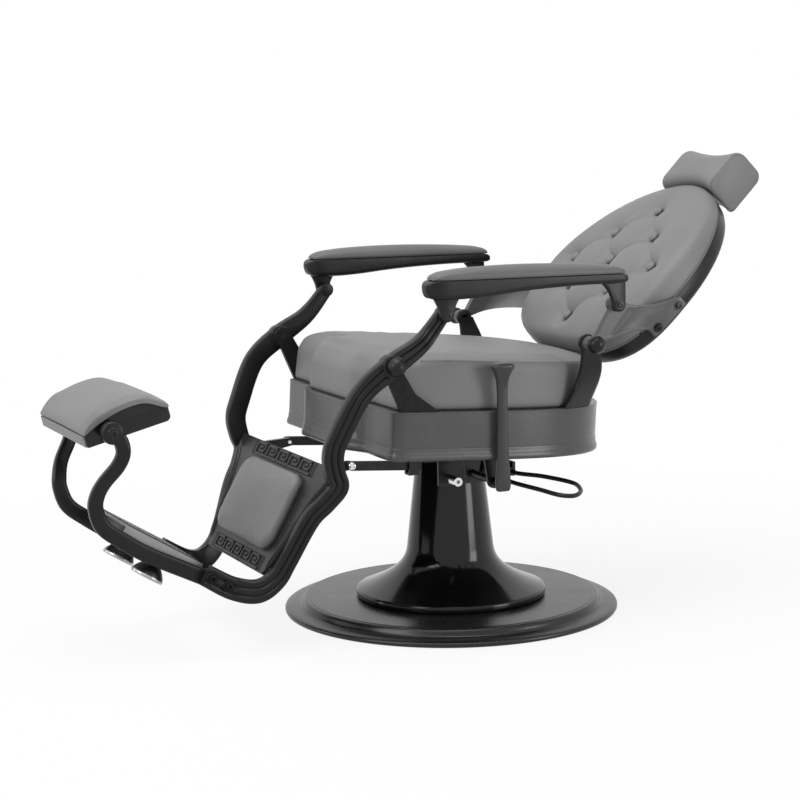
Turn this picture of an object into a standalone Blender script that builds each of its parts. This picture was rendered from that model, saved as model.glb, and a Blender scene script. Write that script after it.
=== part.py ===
"""Hydraulic barber chair: round base, swivel seat, reclining back linked to a swinging leg rest.

Metres, +Z up.  The origin is the centre of the base's underside.  The chair faces -Y and +X is the
sitter's left.  It stands fully reclined.  Each moving group hangs on an empty that lies on its axis.
"""
from math import cos, hypot, pi, radians, sin, tan

import bmesh
import bpy
from mathutils import Matrix, Vector

# Fits
SEAT_GAP = 0.0003          # between faces that rest on each other
PIN_PLAY = 0.0004          # radial play of a pin or a shaft in its hole
LINK_PLAY = 0.0015         # radial play of the front armrest pins, where the linkage closes
SIDE_PLAY = 0.0005         # between links that turn side by side

# Base and column
BASE_RADIUS = 0.325
PLATE_RADIUS = 0.290
FLANGE_HEIGHT = 0.011
PLATE_HEIGHT = 0.0266
SKIRT_RADIUS = 0.185
LIP_HEIGHT = 0.015
FLARE_HEIGHT = 0.083
NECK_RADIUS = 0.0935
BELL_TOP_RADIUS = 0.0655
COLUMN_DROP = 0.130        # from the pan's top down to the top of the bell
BELL_WALL = 0.005
CYLINDER_WALL = 0.010
PISTON_RADIUS = 0.038
HEAD_RADIUS = 0.060

# Seat
SEAT_HEIGHT = 0.422        # top of the pan, over the column
SEAT_TILT = radians(3.55)
PAN_HEIGHT = 0.0905
PAN_WALL = 0.005
PAN_HALF_WIDTH = 0.262
PAN_FRONT = 0.232
PAN_REAR = 0.270
PAN_SIDE_END = -0.020      # where the straight sides end and the round rear starts
NOSE_DEPTH = 0.030
NOSE_FLAT = 0.085
NOSE_HALF_WIDTH = 0.155
CORNER_RADIUS = 0.022
RIM_FLARE = 0.004
RIM_HEIGHT = 0.013
LIP_WIDTH = 0.004          # by which the pan's top lip reaches under the cushion board
BOARD_THICKNESS = 0.006
CUSHION_GAP = 0.002        # between the cushion's side and the side brackets
CUSHION_EDGE = 0.083
CUSHION_CROWN = 0.007
CUSHION_SOFTNESS = 0.026   # how far its upper edge rolls in
CUSHION_TAPER = 0.028      # loss of height for each metre towards the back
MOUNT_THICKNESS = 0.008
MOUNT_HALF_WIDTH = 0.125
MOUNT_HALF_LENGTH = 0.090

# Pivots of the linkage in the side view, as (y, z)
FRONT_PIVOT = (-0.2410, SEAT_HEIGHT + 0.0994)
REAR_PIVOT = (0.1614, SEAT_HEIGHT + 0.1134)
ARM_REAR_PIN = (0.2112, SEAT_HEIGHT + 0.1840)
ARM_FRONT_PIN = (-0.1397, SEAT_HEIGHT + 0.1860)
BRACKET_THICKNESS = 0.010
LINK_THICKNESS = 0.020
TAB_THICKNESS = 0.011
EYE_RADIUS = 0.018
ARM_EYE_RADIUS = 0.0135
PIVOT_RADIUS = 0.006
BALL_RADIUS = 0.017
PIN_RADIUS = 0.005
PIN_HEAD_RADIUS = 0.009
PIN_HEAD_HEIGHT = 0.004

# Armrests
ARM_OFFSET = 0.018         # of the armrest's middle from the pan's side
ARM_HALF_WIDTH = 0.025
ARM_DEPTH = 0.034          # of the casting, near its nose
ARM_FALL = 0.006           # of the casting's top, from nose to tail
ARM_NOSE = 0.040           # ahead of the front pin
ARM_TAIL = 0.013           # behind the rear pin
ARM_RISE = 0.0625          # from the front pin to the top of the casting
ARM_PAD_HEIGHT = 0.021
ARM_PAD_OVERHANG = 0.0015

# Back
BACK_RECLINE = radians(45.0)
BACK_CENTRE = (0.381, SEAT_HEIGHT + 0.1954)
BACK_DRAW_IN = 0.032       # by which each side of the back lies inside the pan's side
BACK_UP = 0.252
BACK_DOWN = 0.184
SHELL_DEPTH = 0.040
SHELL_WALL = 0.006
SHELL_SIDE = 0.022         # depth of the shell's almost straight side
SHELL_TAPER = 0.002        # by which that side draws in
BACK_PAD_EDGE = 0.046
BACK_PAD_CROWN = 0.010
BACK_PAD_SOFTNESS = 0.020
BACK_PAD_THINNING = 0.56   # share of the pad's thickness that is gone at the top
TUFT_STEP_X = 0.074
TUFT_STEP_Z = 0.0717
TUFT_CENTRE = 0.018
TUFT_DEPTH = 0.012
TUFT_SPREAD = 0.017
BACK_BOLTS = (-0.026, -0.083)    # heights of the upper and lower bracket bolts, from the back's centre
BACK_FLANGE = 0.010
FLANGE_START = 0.003       # from the shell's rim

# Headrest
HEADREST_HALF_WIDTH = 0.0925
HEADREST_TOP = 0.342
HEADREST_FRONT = 0.032
HEADREST_REAR = 0.056
HEADREST_EDGES = (0.012, 0.020, 0.030, 0.014)    # radii: rear low, rear top, front top, front low
HEADREST_GAP = 0.004
HEADREST_SAG = 0.006
POST_HALF_WIDTH = 0.015
POST_THICKNESS = 0.006
POST_LENGTH = 0.215
POST_DEPTH = 0.018         # from the shell's rim to the middle of the post
SOCKET_LENGTH = 0.120
SOCKET_WALL = 0.005
SOCKET_DROP = 0.045        # from the top of the back to the top of the socket

# Leg frames and calf panel
LEG_THICKNESS = 0.022
EYE_PROUD = 0.0008         # by which an eye's faces stand out from its bar
CALF_LEAN = radians(30.0)
CALF_CENTRE = (-0.3925, SEAT_HEIGHT - 0.182)
CALF_HALF_HEIGHT = 0.113
CALF_THICKNESS = 0.008
CALF_PAD_HALF_WIDTH = 0.130
CALF_PAD_HALF_HEIGHT = 0.072
CALF_PAD_RISE = 0.006
CALF_PAD_EDGE = 0.013
CALF_PAD_CROWN = 0.009

# Footrest
FOOT_ARM_X = 0.113
FOOT_ARM_THICKNESS = 0.018
FOOT_PLATE_REAR = (-0.545, SEAT_HEIGHT - 0.2590)
FOOT_PLATE_FRONT = (-0.684, SEAT_HEIGHT - 0.1730)
FOOT_PLATE_THICKNESS = 0.004
FOOT_FLANGE = 0.026
FOOT_SLOTS = 5
FOOT_SLOT_WIDTH = 0.012
GLIDE_X = 0.0865
GLIDE_ALONG = 0.079
GLIDE_DROP = 0.060
GLIDE_RADIUS = 0.0315

# Footpad
FOOTPAD_PIVOT = (-0.7226, SEAT_HEIGHT + 0.0040)
FOOTPAD_TILT = radians(14.0)
FOOTPAD_HALF_WIDTH = 0.140
FOOTPAD_AHEAD = 0.0445
FOOTPAD_BEHIND = 0.115
FOOTPAD_BELOW = 0.0172
FOOTPAD_FRONT_HEIGHT = 0.022
FOOTPAD_ARCH = 0.045
FOOTPAD_REAR_HEIGHT = 0.024
FOOTPAD_CUSHION = 0.018
FOOT_EYE_RADIUS = 0.020
FOOT_EYE_BOSS = 0.010

# Link bars under the seat
BAR_X = 0.159
BAR_THICKNESS = 0.010
BAR_HEIGHT = 0.017
BAR_PIN = (-0.2745, SEAT_HEIGHT - 0.0945)
BAR_END = -0.136
BAR_SLOPE = 0.080
BAR_PIN_RADIUS = 0.004
GUIDE_PLAY = 0.0015
GUIDE_WALL = 0.004
GUIDE_START = -0.163
GUIDE_LENGTH = 0.020

# Recline lever
LEVER_AXIS = (-0.0235, SEAT_HEIGHT - 0.1320)
LEVER_LENGTH = 0.224
LEVER_GRIP = 0.0210        # half width of the grip's bulb
LEVER_THICKNESS = 0.011
LEVER_PLAY = 0.003         # between the lever and the pan's rim
LEVER_SHAFT_RADIUS = 0.007
LEVER_SHAFT_START = 0.130
LEVER_CHEEKS = (0.143, PAN_HALF_WIDTH - 0.027)
CHEEK_THICKNESS = 0.006

# Pump pedal
PEDAL_AXIS = (0.098, SEAT_HEIGHT - 0.1410)       # x and z of the pivot pin, which runs along Y
PUMP_PLATE_X = 0.076
PUMP_PLATE_FRONT = -0.062
PUMP_PLATE_REAR = 0.000
PUMP_CHEEKS = (0.030, 0.084)
YOKE_REACH = 0.031
YOKE_RADIUS = 0.011
PEDAL_ROD_RADIUS = 0.004
PEDAL_REACH = 0.2125
PEDAL_FALL = 0.012         # of the loop, from its root to its tip
PEDAL_WIDTH = 0.116
STUD_CENTRE = (-0.042, SEAT_HEIGHT - 0.1515)
STUD_RADIUS = 0.0095
STUD_BORE = 0.0036
STUD_LENGTH = 0.044

# Worked out from the sizes above
SIDES = (("L", 1), ("R", -1))
BELL_TOP = SEAT_HEIGHT - COLUMN_DROP
ARM_X = PAN_HALF_WIDTH + ARM_OFFSET
BACK_HALF_WIDTH = PAN_HALF_WIDTH - BACK_DRAW_IN
BRACKET_OUT = PAN_HALF_WIDTH
BRACKET_IN = BRACKET_OUT - BRACKET_THICKNESS
LINK_IN = BRACKET_OUT + SIDE_PLAY
LINK_MIDDLE = LINK_IN + LINK_THICKNESS / 2
LINK_OUT = LINK_IN + LINK_THICKNESS
TAB_IN = LINK_OUT + SIDE_PLAY
TAB_OUT = TAB_IN + TAB_THICKNESS
CUSHION_INSET = BRACKET_THICKNESS + CUSHION_GAP
FOOT_ARM_IN = FOOT_ARM_X - FOOT_ARM_THICKNESS / 2
FOOT_ARM_OUT = FOOT_ARM_X + FOOT_ARM_THICKNESS / 2
FOOT_EYE_THICKNESS = FOOT_ARM_THICKNESS + 2 * EYE_PROUD
FOOT_EYE_X = FOOTPAD_HALF_WIDTH + SIDE_PLAY + FOOT_EYE_BOSS + FOOT_EYE_THICKNESS / 2
LEG_TOE_X = FOOT_ARM_OUT + SEAT_GAP + LEG_THICKNESS / 2


def clear_scene():
    for old in list(bpy.data.objects):
        bpy.data.objects.remove(old, do_unlink=True)


def finish_of(name, colour, roughness, metallic):
    """A Principled material; colour is a grey level or an RGB triple."""
    rgb = colour if isinstance(colour, tuple) else (colour, colour, colour)
    made = bpy.data.materials.new(name)
    made.use_nodes = True
    shader = made.node_tree.nodes["Principled BSDF"]
    shader.inputs["Base Color"].default_value = (*rgb, 1.0)
    shader.inputs["Roughness"].default_value = roughness
    shader.inputs["Metallic"].default_value = metallic
    return made


def axis_empty(name, location, carrier=None):
    """An empty on a joint's axis, which carries the pieces that turn or slide there."""
    empty = bpy.data.objects.new(name, None)
    bpy.context.scene.collection.objects.link(empty)
    empty.location = location
    hang(empty, carrier)
    return empty


def hang(thing, carrier):
    """Parent a thing to its carrier and leave it where it is."""
    bpy.context.view_layer.update()
    if carrier is not None:
        thing.parent = carrier
        thing.matrix_parent_inverse = carrier.matrix_world.inverted()
        bpy.context.view_layer.update()


def add_piece(name, shape, finish, carrier, location=(0, 0, 0), lean=0.0, crease=35.0):
    """Turn a bmesh into a named object; lean turns it about X, top towards the back."""
    bmesh.ops.recalc_face_normals(shape, faces=shape.faces)
    mesh = bpy.data.meshes.new(name)
    shape.to_mesh(mesh)
    shape.free()
    mesh.materials.append(finish)
    mesh.shade_smooth()
    mesh.set_sharp_from_angle(angle=radians(crease))
    piece = bpy.data.objects.new(name, mesh)
    bpy.context.scene.collection.objects.link(piece)
    piece.location = location
    piece.rotation_euler = (-lean, 0.0, 0.0)
    hang(piece, carrier)
    return piece


def combine(base, tools, operation):
    """The base shape united with the tools, or cut by them, one after the other."""
    made = []
    for shape in (base, *tools):
        bmesh.ops.recalc_face_normals(shape, faces=shape.faces)
        mesh = bpy.data.meshes.new("work")
        shape.to_mesh(mesh)
        shape.free()
        work = bpy.data.objects.new("work", mesh)
        bpy.context.scene.collection.objects.link(work)
        made.append(work)
    for tool in made[1:]:
        step = made[0].modifiers.new("step", "BOOLEAN")
        step.operation = operation
        step.object = tool
        step.solver = "EXACT"
    bpy.context.view_layer.update()
    result = bmesh.new()
    result.from_object(made[0], bpy.context.evaluated_depsgraph_get())
    bmesh.ops.remove_doubles(result, verts=result.verts, dist=2e-6)
    for work in made:
        bpy.data.objects.remove(work, do_unlink=True)
    return result


def loft(rings, tip=None):
    """A closed skin through rings of equal count; tip, a point, closes the last ring as a fan."""
    shape = bmesh.new()
    rows = [[shape.verts.new(point) for point in ring] for ring in rings]
    for lower, upper in zip(rows, rows[1:]):
        for i, corner in enumerate(lower):
            j = (i + 1) % len(lower)
            shape.faces.new((corner, lower[j], upper[j], upper[i]))
    shape.faces.new(rows[0])
    if tip is None:
        shape.faces.new(rows[-1])
    else:
        top = shape.verts.new(tip)
        for i, corner in enumerate(rows[-1]):
            shape.faces.new((corner, rows[-1][(i + 1) % len(rows[-1])], top))
    bmesh.ops.recalc_face_normals(shape, faces=shape.faces)
    return shape


def turned(profile, segments, place=Matrix()):
    """A body turned about local Z from (radius, height) points, closed on the axis or on itself."""
    shape = bmesh.new()
    rows = []
    for radius, height in profile:
        if radius < 1e-7:
            rows.append([shape.verts.new((0.0, 0.0, height))])
            continue
        ring = []
        for k in range(segments):
            angle = 2 * pi * k / segments
            ring.append(shape.verts.new((radius * cos(angle), radius * sin(angle), height)))
        rows.append(ring)
    pairs = list(zip(rows, rows[1:]))
    if len(rows[0]) > 1:
        pairs.append((rows[-1], rows[0]))
    for lower, upper in pairs:
        for k in range(segments):
            m = (k + 1) % segments
            if len(lower) == 1:
                shape.faces.new((lower[0], upper[m], upper[k]))
            elif len(upper) == 1:
                shape.faces.new((lower[k], lower[m], upper[0]))
            else:
                shape.faces.new((lower[k], lower[m], upper[m], upper[k]))
    bmesh.ops.transform(shape, matrix=place, verts=shape.verts)
    bmesh.ops.recalc_face_normals(shape, faces=shape.faces)
    return shape


def across(point, side):
    """Place a turned body along X at a (y, z) point; its heights are distances from the middle plane."""
    return Matrix.Translation((0.0, *point)) @ Matrix.Rotation(side * pi / 2, 4, "Y")


def drum(point, radius, inner, outer, side, segments=16):
    """A cylinder across the chair between two distances from the middle plane."""
    return turned([(0, inner), (radius, inner), (radius, outer), (0, outer)], segments, across(point, side))


def plate(outline, inner, outer, side):
    """A flat plate with a (y, z) outline, between two distances from the middle plane."""
    return loft([[(side * x, y, z) for y, z in outline] for x in (inner, outer)])


def smooth_run(points, steps):
    """Points of a smooth curve through the given ones, in any number of dimensions."""
    last = len(points) - 1
    run = []
    for i in range(last):
        a, b, c, d = points[max(i - 1, 0)], points[i], points[i + 1], points[min(i + 2, last)]
        for k in range(steps):
            t = k / steps
            run.append(tuple(
                0.5 * (2 * q + (r - p) * t + (2 * p - 5 * q + 4 * r - s) * t ** 2
                       + (3 * q - p - 3 * r + s) * t ** 3)
                for p, q, r, s in zip(a, b, c, d)))
    run.append(tuple(points[-1]))
    return run


def run_frames(run):
    """For each (x, y, z, width) of a bar: the point, its width and its width direction in the side view."""
    frames = []
    for i, (x, y, z, width) in enumerate(run):
        back, ahead = run[max(i - 1, 0)], run[min(i + 1, len(run) - 1)]
        dy, dz = ahead[1] - back[1], ahead[2] - back[2]
        length = hypot(dy, dz)
        frames.append((Vector((x, y, z)), width, Vector((0.0, -dz / length, dy / length))))
    return frames


def swept_bar(run, section, thickness, side):
    """A bar along a run; its section is given in shares of the bar's width and of its thickness."""
    rings = []
    for point, width, across_bar in run_frames(run):
        ring = []
        for u, v in section:
            corner = point + across_bar * (u * width) + Vector((v * thickness, 0.0, 0.0))
            ring.append((side * corner.x, corner.y, corner.z))
        rings.append(ring)
    return loft(rings)


def round_rod(path, radius, sides):
    """A rod along a level path."""
    rings = []
    for i, (x, y, z) in enumerate(path):
        back, ahead = path[max(i - 1, 0)], path[min(i + 1, len(path) - 1)]
        dx, dy = ahead[0] - back[0], ahead[1] - back[1]
        length = hypot(dx, dy)
        ring = []
        for k in range(sides):
            angle = 2 * pi * k / sides
            out = radius * cos(angle)
            ring.append((x - dy / length * out, y + dx / length * out, z + radius * sin(angle)))
        rings.append(ring)
    return loft(rings)


def arc(centre, radius, start, end, steps):
    """Points of an arc, in degrees."""
    points = []
    for k in range(steps + 1):
        angle = radians(start + (end - start) * k / steps)
        points.append((centre[0] + radius * cos(angle), centre[1] + radius * sin(angle)))
    return points


def rounded_box(low, high, radius, steps=3):
    """The outline of a rectangle whose corners have one radius, or four, in two dimensions."""
    (a, b), (c, d) = low, high
    radii = radius if isinstance(radius, tuple) else (radius,) * 4
    p, q, r, s = (min(radius, 0.45 * (c - a), 0.45 * (d - b)) for radius in radii)
    return (arc((c - p, b + p), p, -90, 0, steps) + arc((c - q, d - q), q, 0, 90, steps)
            + arc((a + r, d - r), r, 90, 180, steps) + arc((a + s, b + s), s, 180, 270, steps))


def cushion(outline, base, edge, crown, softness, place, centre, relief=None):
    """A crowned pad on an outline(inset): drawn-in sides, a soft edge and a swelling top."""
    rings = []
    for inset, rise in ((0.10, 0.0), (0.0, 0.16), (0.12, 0.45), (0.0, 0.72), (0.30, 0.92), (1.0, 1.0)):
        rings.append([place(a, b, base + edge * rise) for a, b in outline(softness * inset)])
    top = outline(softness)
    for share in (0.86, 0.66, 0.44, 0.22):
        ring = []
        for a, b in top:
            a, b = centre[0] + (a - centre[0]) * share, centre[1] + (b - centre[1]) * share
            sunk = relief(a, b) if relief else 0.0
            ring.append(place(a, b, base + edge + crown * (1 - share ** 2) - sunk))
        rings.append(ring)
    sunk = relief(*centre) if relief else 0.0
    return loft(rings, tip=place(*centre, base + edge + crown - sunk))


def seat_point(x, y, rise):
    """World place of a point given along and above the tilted top of the pan."""
    return (x, y * cos(SEAT_TILT) + rise * sin(SEAT_TILT),
            SEAT_HEIGHT - y * sin(SEAT_TILT) + rise * cos(SEAT_TILT))


def under_pan(y, drop=0.0):
    """World height of the face that seats on the pan's underside, or lies a drop below it."""
    return SEAT_HEIGHT - (PAN_HEIGHT + SEAT_GAP + drop) / cos(SEAT_TILT) - y * tan(SEAT_TILT)


def rear_width(y, inset):
    """Half width of the pan behind its straight sides."""
    share = (y - PAN_SIDE_END) / (PAN_REAR - inset - PAN_SIDE_END)
    return (PAN_HALF_WIDTH - inset) * (1 - share ** REAR_POWER) ** (1 / REAR_POWER)


REAR_POWER = 2.7           # how full the pan's rear is: 1 is straight, 2 an ellipse


def seat_outline(inset):
    """The plan of the pan, drawn in by an inset: bowed front, square corners, rounded rear."""
    half, front, rear = PAN_HALF_WIDTH - inset, PAN_FRONT - inset, PAN_REAR - inset
    corner = max(CORNER_RADIUS - inset, CORNER_RADIUS / 4)
    right = []
    for k in range(6):
        t = k / 5
        x = NOSE_FLAT + (NOSE_HALF_WIDTH - NOSE_FLAT) * t
        right.append((x, -front - NOSE_DEPTH * (0.5 + 0.5 * cos(pi * t))))
    right += arc((half - corner, corner - front), corner, -90, 0, 3)
    right += [(half, (PAN_SIDE_END - front) / 2), (half, PAN_SIDE_END)]
    for k in range(1, 10):
        angle = pi / 2 * k / 10
        x = half * cos(angle) ** (2 / REAR_POWER)
        right.append((x, PAN_SIDE_END + (rear - PAN_SIDE_END) * sin(angle) ** (2 / REAR_POWER)))
    return right + [(0.0, rear)] + [(-x, y) for x, y in reversed(right)]


def back_outline(inset):
    """The oval of the back as (x, height), drawn in by an inset; its lower half is a little squarer."""
    points = []
    for k in range(40):
        angle = 2 * pi * k / 40
        tall, power = (BACK_UP, 1.0) if sin(angle) > 0 else (BACK_DOWN, LOWER_POWER)
        x = (BACK_HALF_WIDTH - inset) * abs(cos(angle)) ** power
        z = (tall - inset) * abs(sin(angle)) ** power
        points.append((x if cos(angle) > 0 else -x, z if sin(angle) > 0 else -z))
    return points


LOWER_POWER = 0.64         # 1 is an ellipse, less is squarer


def back_half_width(height, inset):
    """Half width of the back's modelled oval at a height."""
    edge = sorted((z, x) for x, z in back_outline(inset) if x > 0)
    for (low, start), (high, end) in zip(edge, edge[1:]):
        if low <= height <= high:
            return start + (end - start) * (height - low) / (high - low)
    return 0.0


def back_point(height, depth):
    """World (y, z) of a point given up the back and behind its rim."""
    y, z = BACK_CENTRE
    return (y + height * sin(BACK_RECLINE) + depth * cos(BACK_RECLINE),
            z + height * cos(BACK_RECLINE) - depth * sin(BACK_RECLINE))


def calf_point(x, height, proud):
    """World place of a point up the calf panel and in front of its face."""
    y, z = CALF_CENTRE
    return (x, y + height * sin(CALF_LEAN) - proud * cos(CALF_LEAN),
            z + height * cos(CALF_LEAN) + proud * sin(CALF_LEAN))


def build_base(root):
    """Stepped base plate, bell cover and the fixed cylinder of the pump."""
    edge, step = BASE_RADIUS, PLATE_RADIUS
    add_piece("base_plate", turned([
        (0, 0), (edge - 0.004, 0), (edge, 0.003), (edge, FLANGE_HEIGHT - 0.004),
        (edge - 0.004, FLANGE_HEIGHT - 0.001), (edge - 0.016, FLANGE_HEIGHT),
        (step + 0.004, FLANGE_HEIGHT + 0.002), (step, FLANGE_HEIGHT + 0.008), (step - 0.004, PLATE_HEIGHT - 0.001), (step - 0.010, PLATE_HEIGHT),
        (0, PLATE_HEIGHT)], 44),
        SATIN_BLACK, root)

    foot = PLATE_HEIGHT + SEAT_GAP
    flare = foot + LIP_HEIGHT
    outside = []
    for k in range(9):
        rise = (k / 8) ** 1.4
        straight = NECK_RADIUS + (BELL_TOP_RADIUS - NECK_RADIUS) * rise * FLARE_HEIGHT / (BELL_TOP - flare)
        spread = (SKIRT_RADIUS - 0.003 - NECK_RADIUS) * (1 - rise) ** 2.5
        outside.append((straight + spread, flare + FLARE_HEIGHT * rise))
    outside.append((BELL_TOP_RADIUS, BELL_TOP))
    inside = [(radius - BELL_WALL, height) for radius, height in reversed(outside)]
    lip = [(SKIRT_RADIUS - 0.016, foot), (SKIRT_RADIUS - 0.003, foot), (SKIRT_RADIUS, foot + 0.004),
           (SKIRT_RADIUS, flare - 0.004)]
    inside[-1] = (SKIRT_RADIUS - 0.016, flare - 0.003)
    add_piece("base_bell", turned(lip + outside + inside, 32), GLOSS_BLACK, root, crease=50)

    bore = PISTON_RADIUS + PIN_PLAY
    wall = bore + CYLINDER_WALL
    bush = BELL_TOP_RADIUS - BELL_WALL - SIDE_PLAY
    add_piece("pump_cylinder", turned([
        (bore, foot), (wall + 0.024, foot), (wall + 0.024, foot + 0.008), (wall, foot + 0.010),
        (wall, BELL_TOP - 0.014), (bush, BELL_TOP - 0.012), (bush, BELL_TOP - 0.001),
        (bore, BELL_TOP - 0.001)], 24),
        DARK_STEEL, root)


HEAD_CLEARANCE = 0.004     # between the bell and the swivel head
HEAD_SOCKET = 0.011        # depth of the piston's socket


def build_column(lift, seat):
    """The ram that lifts the chair, the head that turns on it and the plate that carries the pan."""
    head_foot = BELL_TOP + HEAD_CLEARANCE
    top = head_foot + HEAD_SOCKET
    add_piece("lift_piston", turned([
        (0, PLATE_HEIGHT + 0.020), (PISTON_RADIUS, PLATE_HEIGHT + 0.020), (PISTON_RADIUS, top - SEAT_GAP),
        (0, top - SEAT_GAP)], 24), CHROME, lift)

    bore = PISTON_RADIUS + PIN_PLAY
    rings = []
    for radius, height in ((bore, top), (bore, head_foot), (HEAD_RADIUS, head_foot), (HEAD_RADIUS, None)):
        ring = []
        for k in range(24):
            x, y = radius * cos(2 * pi * k / 24), radius * sin(2 * pi * k / 24)
            ring.append((x, y, under_pan(y, MOUNT_THICKNESS + SEAT_GAP) if height is None else height))
        rings.append(ring)
    add_piece("swivel_head", loft(rings), DARK_STEEL, seat)

    ends = (-MOUNT_HALF_LENGTH, MOUNT_HALF_LENGTH)
    outline = [(y, under_pan(y)) for y in ends] + [(y, under_pan(y, MOUNT_THICKNESS)) for y in reversed(ends)]
    add_piece("mount_plate", plate(outline, -MOUNT_HALF_WIDTH, MOUNT_HALF_WIDTH, 1), DARK_STEEL, seat)


def build_seat(seat):
    """The pan with its flared rim and top lip, the cushion board and the crowned cushion."""
    place = {"location": (0, 0, SEAT_HEIGHT), "lean": SEAT_TILT}
    reach = CUSHION_INSET + LIP_WIDTH
    levels = [(-PAN_HEIGHT, -RIM_FLARE), (RIM_HEIGHT * 0.8 - PAN_HEIGHT, -RIM_FLARE),
              (RIM_HEIGHT - PAN_HEIGHT, 0), (-0.003, 0), (0, 0.002), (0, reach),
              (-PAN_WALL, reach), (-PAN_WALL, PAN_WALL), (PAN_WALL - PAN_HEIGHT, PAN_WALL)]
    rings = [[(x, y, level) for x, y in seat_outline(inset)] for level, inset in levels]
    add_piece("seat_pan", loft(rings), SATIN_BLACK, seat, **place)

    board = [SEAT_GAP, SEAT_GAP + BOARD_THICKNESS]
    rings = [[(x, y, level) for x, y in seat_outline(CUSHION_INSET)] for level in board]
    add_piece("seat_board", loft(rings), PLYWOOD, seat, **place)

    def set_on_board(x, y, rise):
        share = (rise - board[1] - SEAT_GAP) / CUSHION_EDGE
        return (x, y, rise - CUSHION_TAPER * y * max(0.0, share))

    add_piece("seat_cushion", cushion(
        lambda inset: seat_outline(CUSHION_INSET + inset), board[1] + SEAT_GAP, CUSHION_EDGE, CUSHION_CROWN,
        CUSHION_SOFTNESS, set_on_board, (0.0, 0.015)), LEATHER, seat, **place)


BRACKET_FOOT_FRONT = 0.013      # from the pan's front to the foot of the front bracket
BRACKET_FOOT_LENGTH = 0.075
REAR_FOOT = (0.120, 0.188)      # where the rear bracket's foot starts and ends along the pan's rim


def front_bracket(side):
    """A plate on the pan's rim that carries the leg frame's pivot."""
    start = BRACKET_FOOT_FRONT - PAN_FRONT
    end = start + BRACKET_FOOT_LENGTH
    foot = [seat_point(0, y, SEAT_GAP)[1:] for y in (start, end)]
    head = arc(FRONT_PIVOT, EYE_RADIUS, 5, 245, 9)
    waist = ((foot[1][0] + FRONT_PIVOT[0]) / 2 + 0.002, (foot[1][1] + FRONT_PIVOT[1]) / 2 - 0.010)
    outline = [foot[0], foot[1], waist, *head]
    return plate(outline, BRACKET_IN, BRACKET_OUT, side)


def rear_bracket(side):
    """A curved arm from the pan's rear corner up and out to the back's pivot."""
    half = BRACKET_THICKNESS / 2
    ends = [Vector(seat_point(rear_width(y, half - 0.0045), y, SEAT_GAP)) for y in REAR_FOOT]
    foot, run = (ends[0] + ends[1]) / 2, ends[1] - ends[0]
    head = Vector(((BRACKET_IN + BRACKET_OUT) / 2, REAR_PIVOT[0] + 0.004, REAR_PIVOT[1]))
    rings = []
    for k in range(7):
        t = k / 6
        blend = t * t * (3 - 2 * t)
        bow = Vector((0.0, EYE_RADIUS * 0.55, 0.0)) * sin(pi * t)
        centre = foot.lerp(head, t) + bow
        centre.x = foot.x + (head.x - foot.x) * blend
        along = run.normalized().lerp(Vector((0.0, 1.0, 0.0)), blend).normalized()
        reach = run.length / 2 * (1 - t) + EYE_RADIUS * 0.85 * t
        out = Vector((along.y, -along.x, 0.0)).normalized() * half
        ring = [centre + along * a * reach + out * b for a, b in ((-1, -1), (1, -1), (1, 1), (-1, 1))]
        rings.append([(side * min(p.x, BRACKET_OUT - EYE_PROUD), p.y, p.z) for p in ring])
    return combine(loft(rings), [drum(REAR_PIVOT, EYE_RADIUS, BRACKET_IN, BRACKET_OUT, side)], "UNION")


def build_side_brackets(seat):
    """Front and rear brackets, each with a ball-headed bolt that the moving link turns on."""
    for letter, side in SIDES:
        for name, shape, point in (("front", front_bracket(side), FRONT_PIVOT),
                                   ("rear", rear_bracket(side), REAR_PIVOT)):
            hole = drum(point, PIVOT_RADIUS + SEAT_GAP, BRACKET_IN - 0.02, BRACKET_OUT + 0.02, side, 16)
            add_piece(f"{name}_bracket_{letter}", combine(shape, [hole], "DIFFERENCE"), SATIN_BLACK, seat)
            seat_face = LINK_OUT + SEAT_GAP
            ball = []
            for turn in range(50, 170, 26):
                rise = cos(radians(50)) - cos(radians(turn))
                ball.append((BALL_RADIUS * sin(radians(turn)), seat_face + BALL_RADIUS * rise))
            shank = [(0, BRACKET_IN), (PIVOT_RADIUS, BRACKET_IN), (PIVOT_RADIUS, seat_face)]
            tip = seat_face + BALL_RADIUS * (1 + cos(radians(50)))
            add_piece(f"{name}_pivot_{letter}", turned([*shank, *ball, (0, tip)], 14, across(point, side)),
                      GLOSS_BLACK, seat)


def pin_with_head(point, radius, inner, outer, side):
    """A plain pin whose round head seats on the outermost face."""
    seat_face = outer + SEAT_GAP
    tip = seat_face + PIN_HEAD_HEIGHT
    rim = PIN_HEAD_RADIUS * radius / PIN_RADIUS
    return turned([(0, inner), (radius, inner), (radius, seat_face), (rim, seat_face), (rim, tip - 0.001),
                   (rim - 0.001, tip), (0, tip)], 12, across(point, side))


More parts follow.
